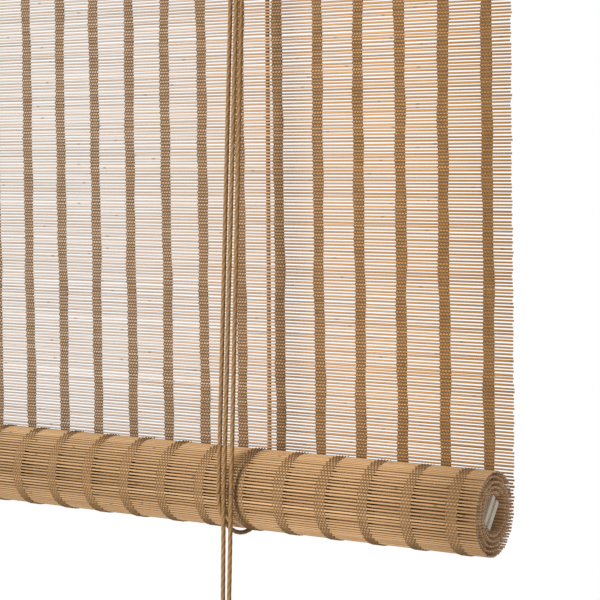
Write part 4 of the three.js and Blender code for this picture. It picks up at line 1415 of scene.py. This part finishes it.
def add_axle(name, cad_node):
    """A riveted axle along Y with domed heads."""
    low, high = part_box(cad_node)
    half = (high.y - low.y) / 2
    head, shaft = 2.7 * MM, 1.5 * MM
    seat = half - 0.9 * MM
    rim = [(head, seat), (head, seat + 0.35 * MM), (0.85 * head, seat + 0.7 * MM)]
    upper = [(shaft, seat), *rim, (0.4 * head, half), (0, half)]
    lower = [(radius, -height) for radius, height in reversed(upper)]
    bm = turned(lower + upper, 40)
    bm.transform(facing((low + high) / 2, (0, 1, 0)))
    place_piece(mesh_from(bm, name), name, [cad_node])


def add_round_screws(fitting):
    """The two round-headed screws that hold a fitting up under the rail."""
    for i in (1, 2):
        name, cad_node = f"{fitting}_round_screw_{i}", f"{fitting}_screw_{i}"
        low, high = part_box(cad_node)
        seat = ((low.x + high.x) / 2, (low.y + high.y) / 2, low.z + SCREW_HEAD)
        sizes = (high.z - low.z - SCREW_HEAD, SCREW_RADIUS, SCREW_HEAD_RADIUS)
        screw(name, cad_node, *sizes, seat, (0, 0, -1), round_head=True)


class BLIND_OT_pulley(bpy.types.Operator):
    """Adds the left pulley: housing, sheave, axle and screws"""

    bl_idname = "blind.pulley"
    bl_label = "Left pulley"

    def execute(self, context):
        edge = context.scene.blind_fittings.metal_edge
        refined("plated_pulley_housing", "pulley_housing_left", edge)
        add_sheave("nylon_pulley_sheave", "pulley_sheave_left")
        add_axle("riveted_pulley_axle", "pulley_axle_left")
        add_round_screws("pulley")
        return {"FINISHED"}


class BLIND_OT_lock(bpy.types.Operator):
    """Adds the cord lock: housing, sheaves, axle, toothed cam, its pin and screws"""

    bl_idname = "blind.lock"
    bl_label = "Cord lock"

    def execute(self, context):
        edge = context.scene.blind_fittings.metal_edge
        refined("plated_lock_housing", "lock_housing", edge)
        add_sheave("nylon_lock_sheave_front", "lock_sheave_front")
        add_sheave("nylon_lock_sheave_back", "lock_sheave_back")
        add_axle("riveted_lock_axle", "lock_axle")
        add_axle("riveted_cam_pin", "lock_cam_pin")
        refined("cast_lock_cam", "lock_cam", edge)
        add_round_screws("lock")
        return {"FINISHED"}


class BLIND_OT_stage(bpy.types.Operator):
    """Adds the pale floor, the white surround and the soft key lamp"""

    bl_idname = "blind.stage"
    bl_label = "Stage"

    def execute(self, context):
        settings = context.scene.blind_stage
        scene = context.scene
        scene.view_settings.view_transform = "Standard"
        self.add_surround(scene, settings)
        self.add_lamp("key lamp", LAMP_PLACE, LAMP_TARGET, LAMP_SIZE, settings.key)
        self.add_floor(settings)
        return {"FINISHED"}

    def add_surround(self, scene, settings):
        """White to look at; the light that it gives is set by the fill."""
        world = bpy.data.worlds.new("white surround")
        scene.world = world
        world.use_nodes = True
        tree = world.node_tree
        tree.nodes.clear()
        seen = node(tree, "LightPath").outputs["Is Camera Ray"]
        strength = span(tree, seen, 0.0, 1.0, settings.fill, 1.0)
        back = node(tree, "Background", {"Color": (1, 1, 1), "Strength": strength})
        out = node(tree, "OutputWorld")
        tree.links.new(back.outputs[0], out.inputs["Surface"])

    def add_lamp(self, name, place, target, size, power):
        data = bpy.data.lights.new(name, "AREA")
        data.shape = "DISK"
        data.size = size
        data.energy = power
        data.color = (1.0, 0.985, 0.96)
        lamp = bpy.data.objects.new(name, data)
        bpy.context.scene.collection.objects.link(lamp)
        lamp.location = place
        lamp.rotation_euler = (Vector(target) - Vector(place)).to_track_quat("-Z", "Y").to_euler()

    def add_floor(self, settings):
        bm = bmesh.new()
        bmesh.ops.create_circle(bm, cap_ends=True, segments=96, radius=settings.floor_radius)
        bmesh.ops.translate(bm, verts=bm.verts, vec=(0, 0, -settings.floor_depth))
        mesh = mesh_from(bm, "floor")
        floor = bpy.data.objects.new("floor", mesh)
        bpy.context.scene.collection.objects.link(floor)
        material, tree, sockets = new_material("Pale floor")
        place, _, _, _ = object_place(tree)
        cloud = noise(tree, place, 0.6, 3.0)
        join(tree, mix(tree, cloud, (0.86, 0.86, 0.85), (0.92, 0.92, 0.91)), sockets["Base Color"])
        join(tree, span(tree, cloud, 0.3, 0.7, 0.8, 0.95), sockets["Roughness"])
        mesh.materials.append(material)


PIECE_OPERATORS = (
    BLIND_OT_camera,
    BLIND_OT_cord_ends,
    BLIND_OT_pull_cords,
    BLIND_OT_lift_cords,
    BLIND_OT_mat,
    BLIND_OT_batten,
    BLIND_OT_head,
    BLIND_OT_brackets,
    BLIND_OT_pulley,
    BLIND_OT_lock,
    BLIND_OT_stage,
)


class BLIND_PT_panel(bpy.types.Panel):
    """Lists the blind's pieces in the order in which they are made"""

    bl_label = "Roll-up blind"
    bl_idname = "BLIND_PT_panel"
    bl_space_type = "VIEW_3D"
    bl_region_type = "UI"
    bl_category = "Blind"

    def draw(self, context):
        for operator in PIECE_OPERATORS:
            self.layout.operator(operator.bl_idname)
        for group in SETTINGS:
            for key in SETTINGS[group].__annotations__:
                self.layout.prop(getattr(context.scene, group), key)


SETTINGS = {
    "blind_mat": MatSettings,
    "blind_cords": CordSettings,
    "blind_fittings": FittingSettings,
    "blind_stage": StageSettings,
}
CLASSES = (*SETTINGS.values(), *PIECE_OPERATORS, BLIND_PT_panel)


def register():
    for item in CLASSES:
        bpy.utils.register_class(item)
    for group, kind in SETTINGS.items():
        setattr(bpy.types.Scene, group, PointerProperty(type=kind))


def unregister():
    for group in SETTINGS:
        delattr(bpy.types.Scene, group)
    for item in reversed(CLASSES):
        bpy.utils.unregister_class(item)


def main():
    register()
    for operator in PIECE_OPERATORS:
        getattr(bpy.ops.blind, operator.bl_idname.split(".")[1])()


if __name__ == "__main__":
    main()
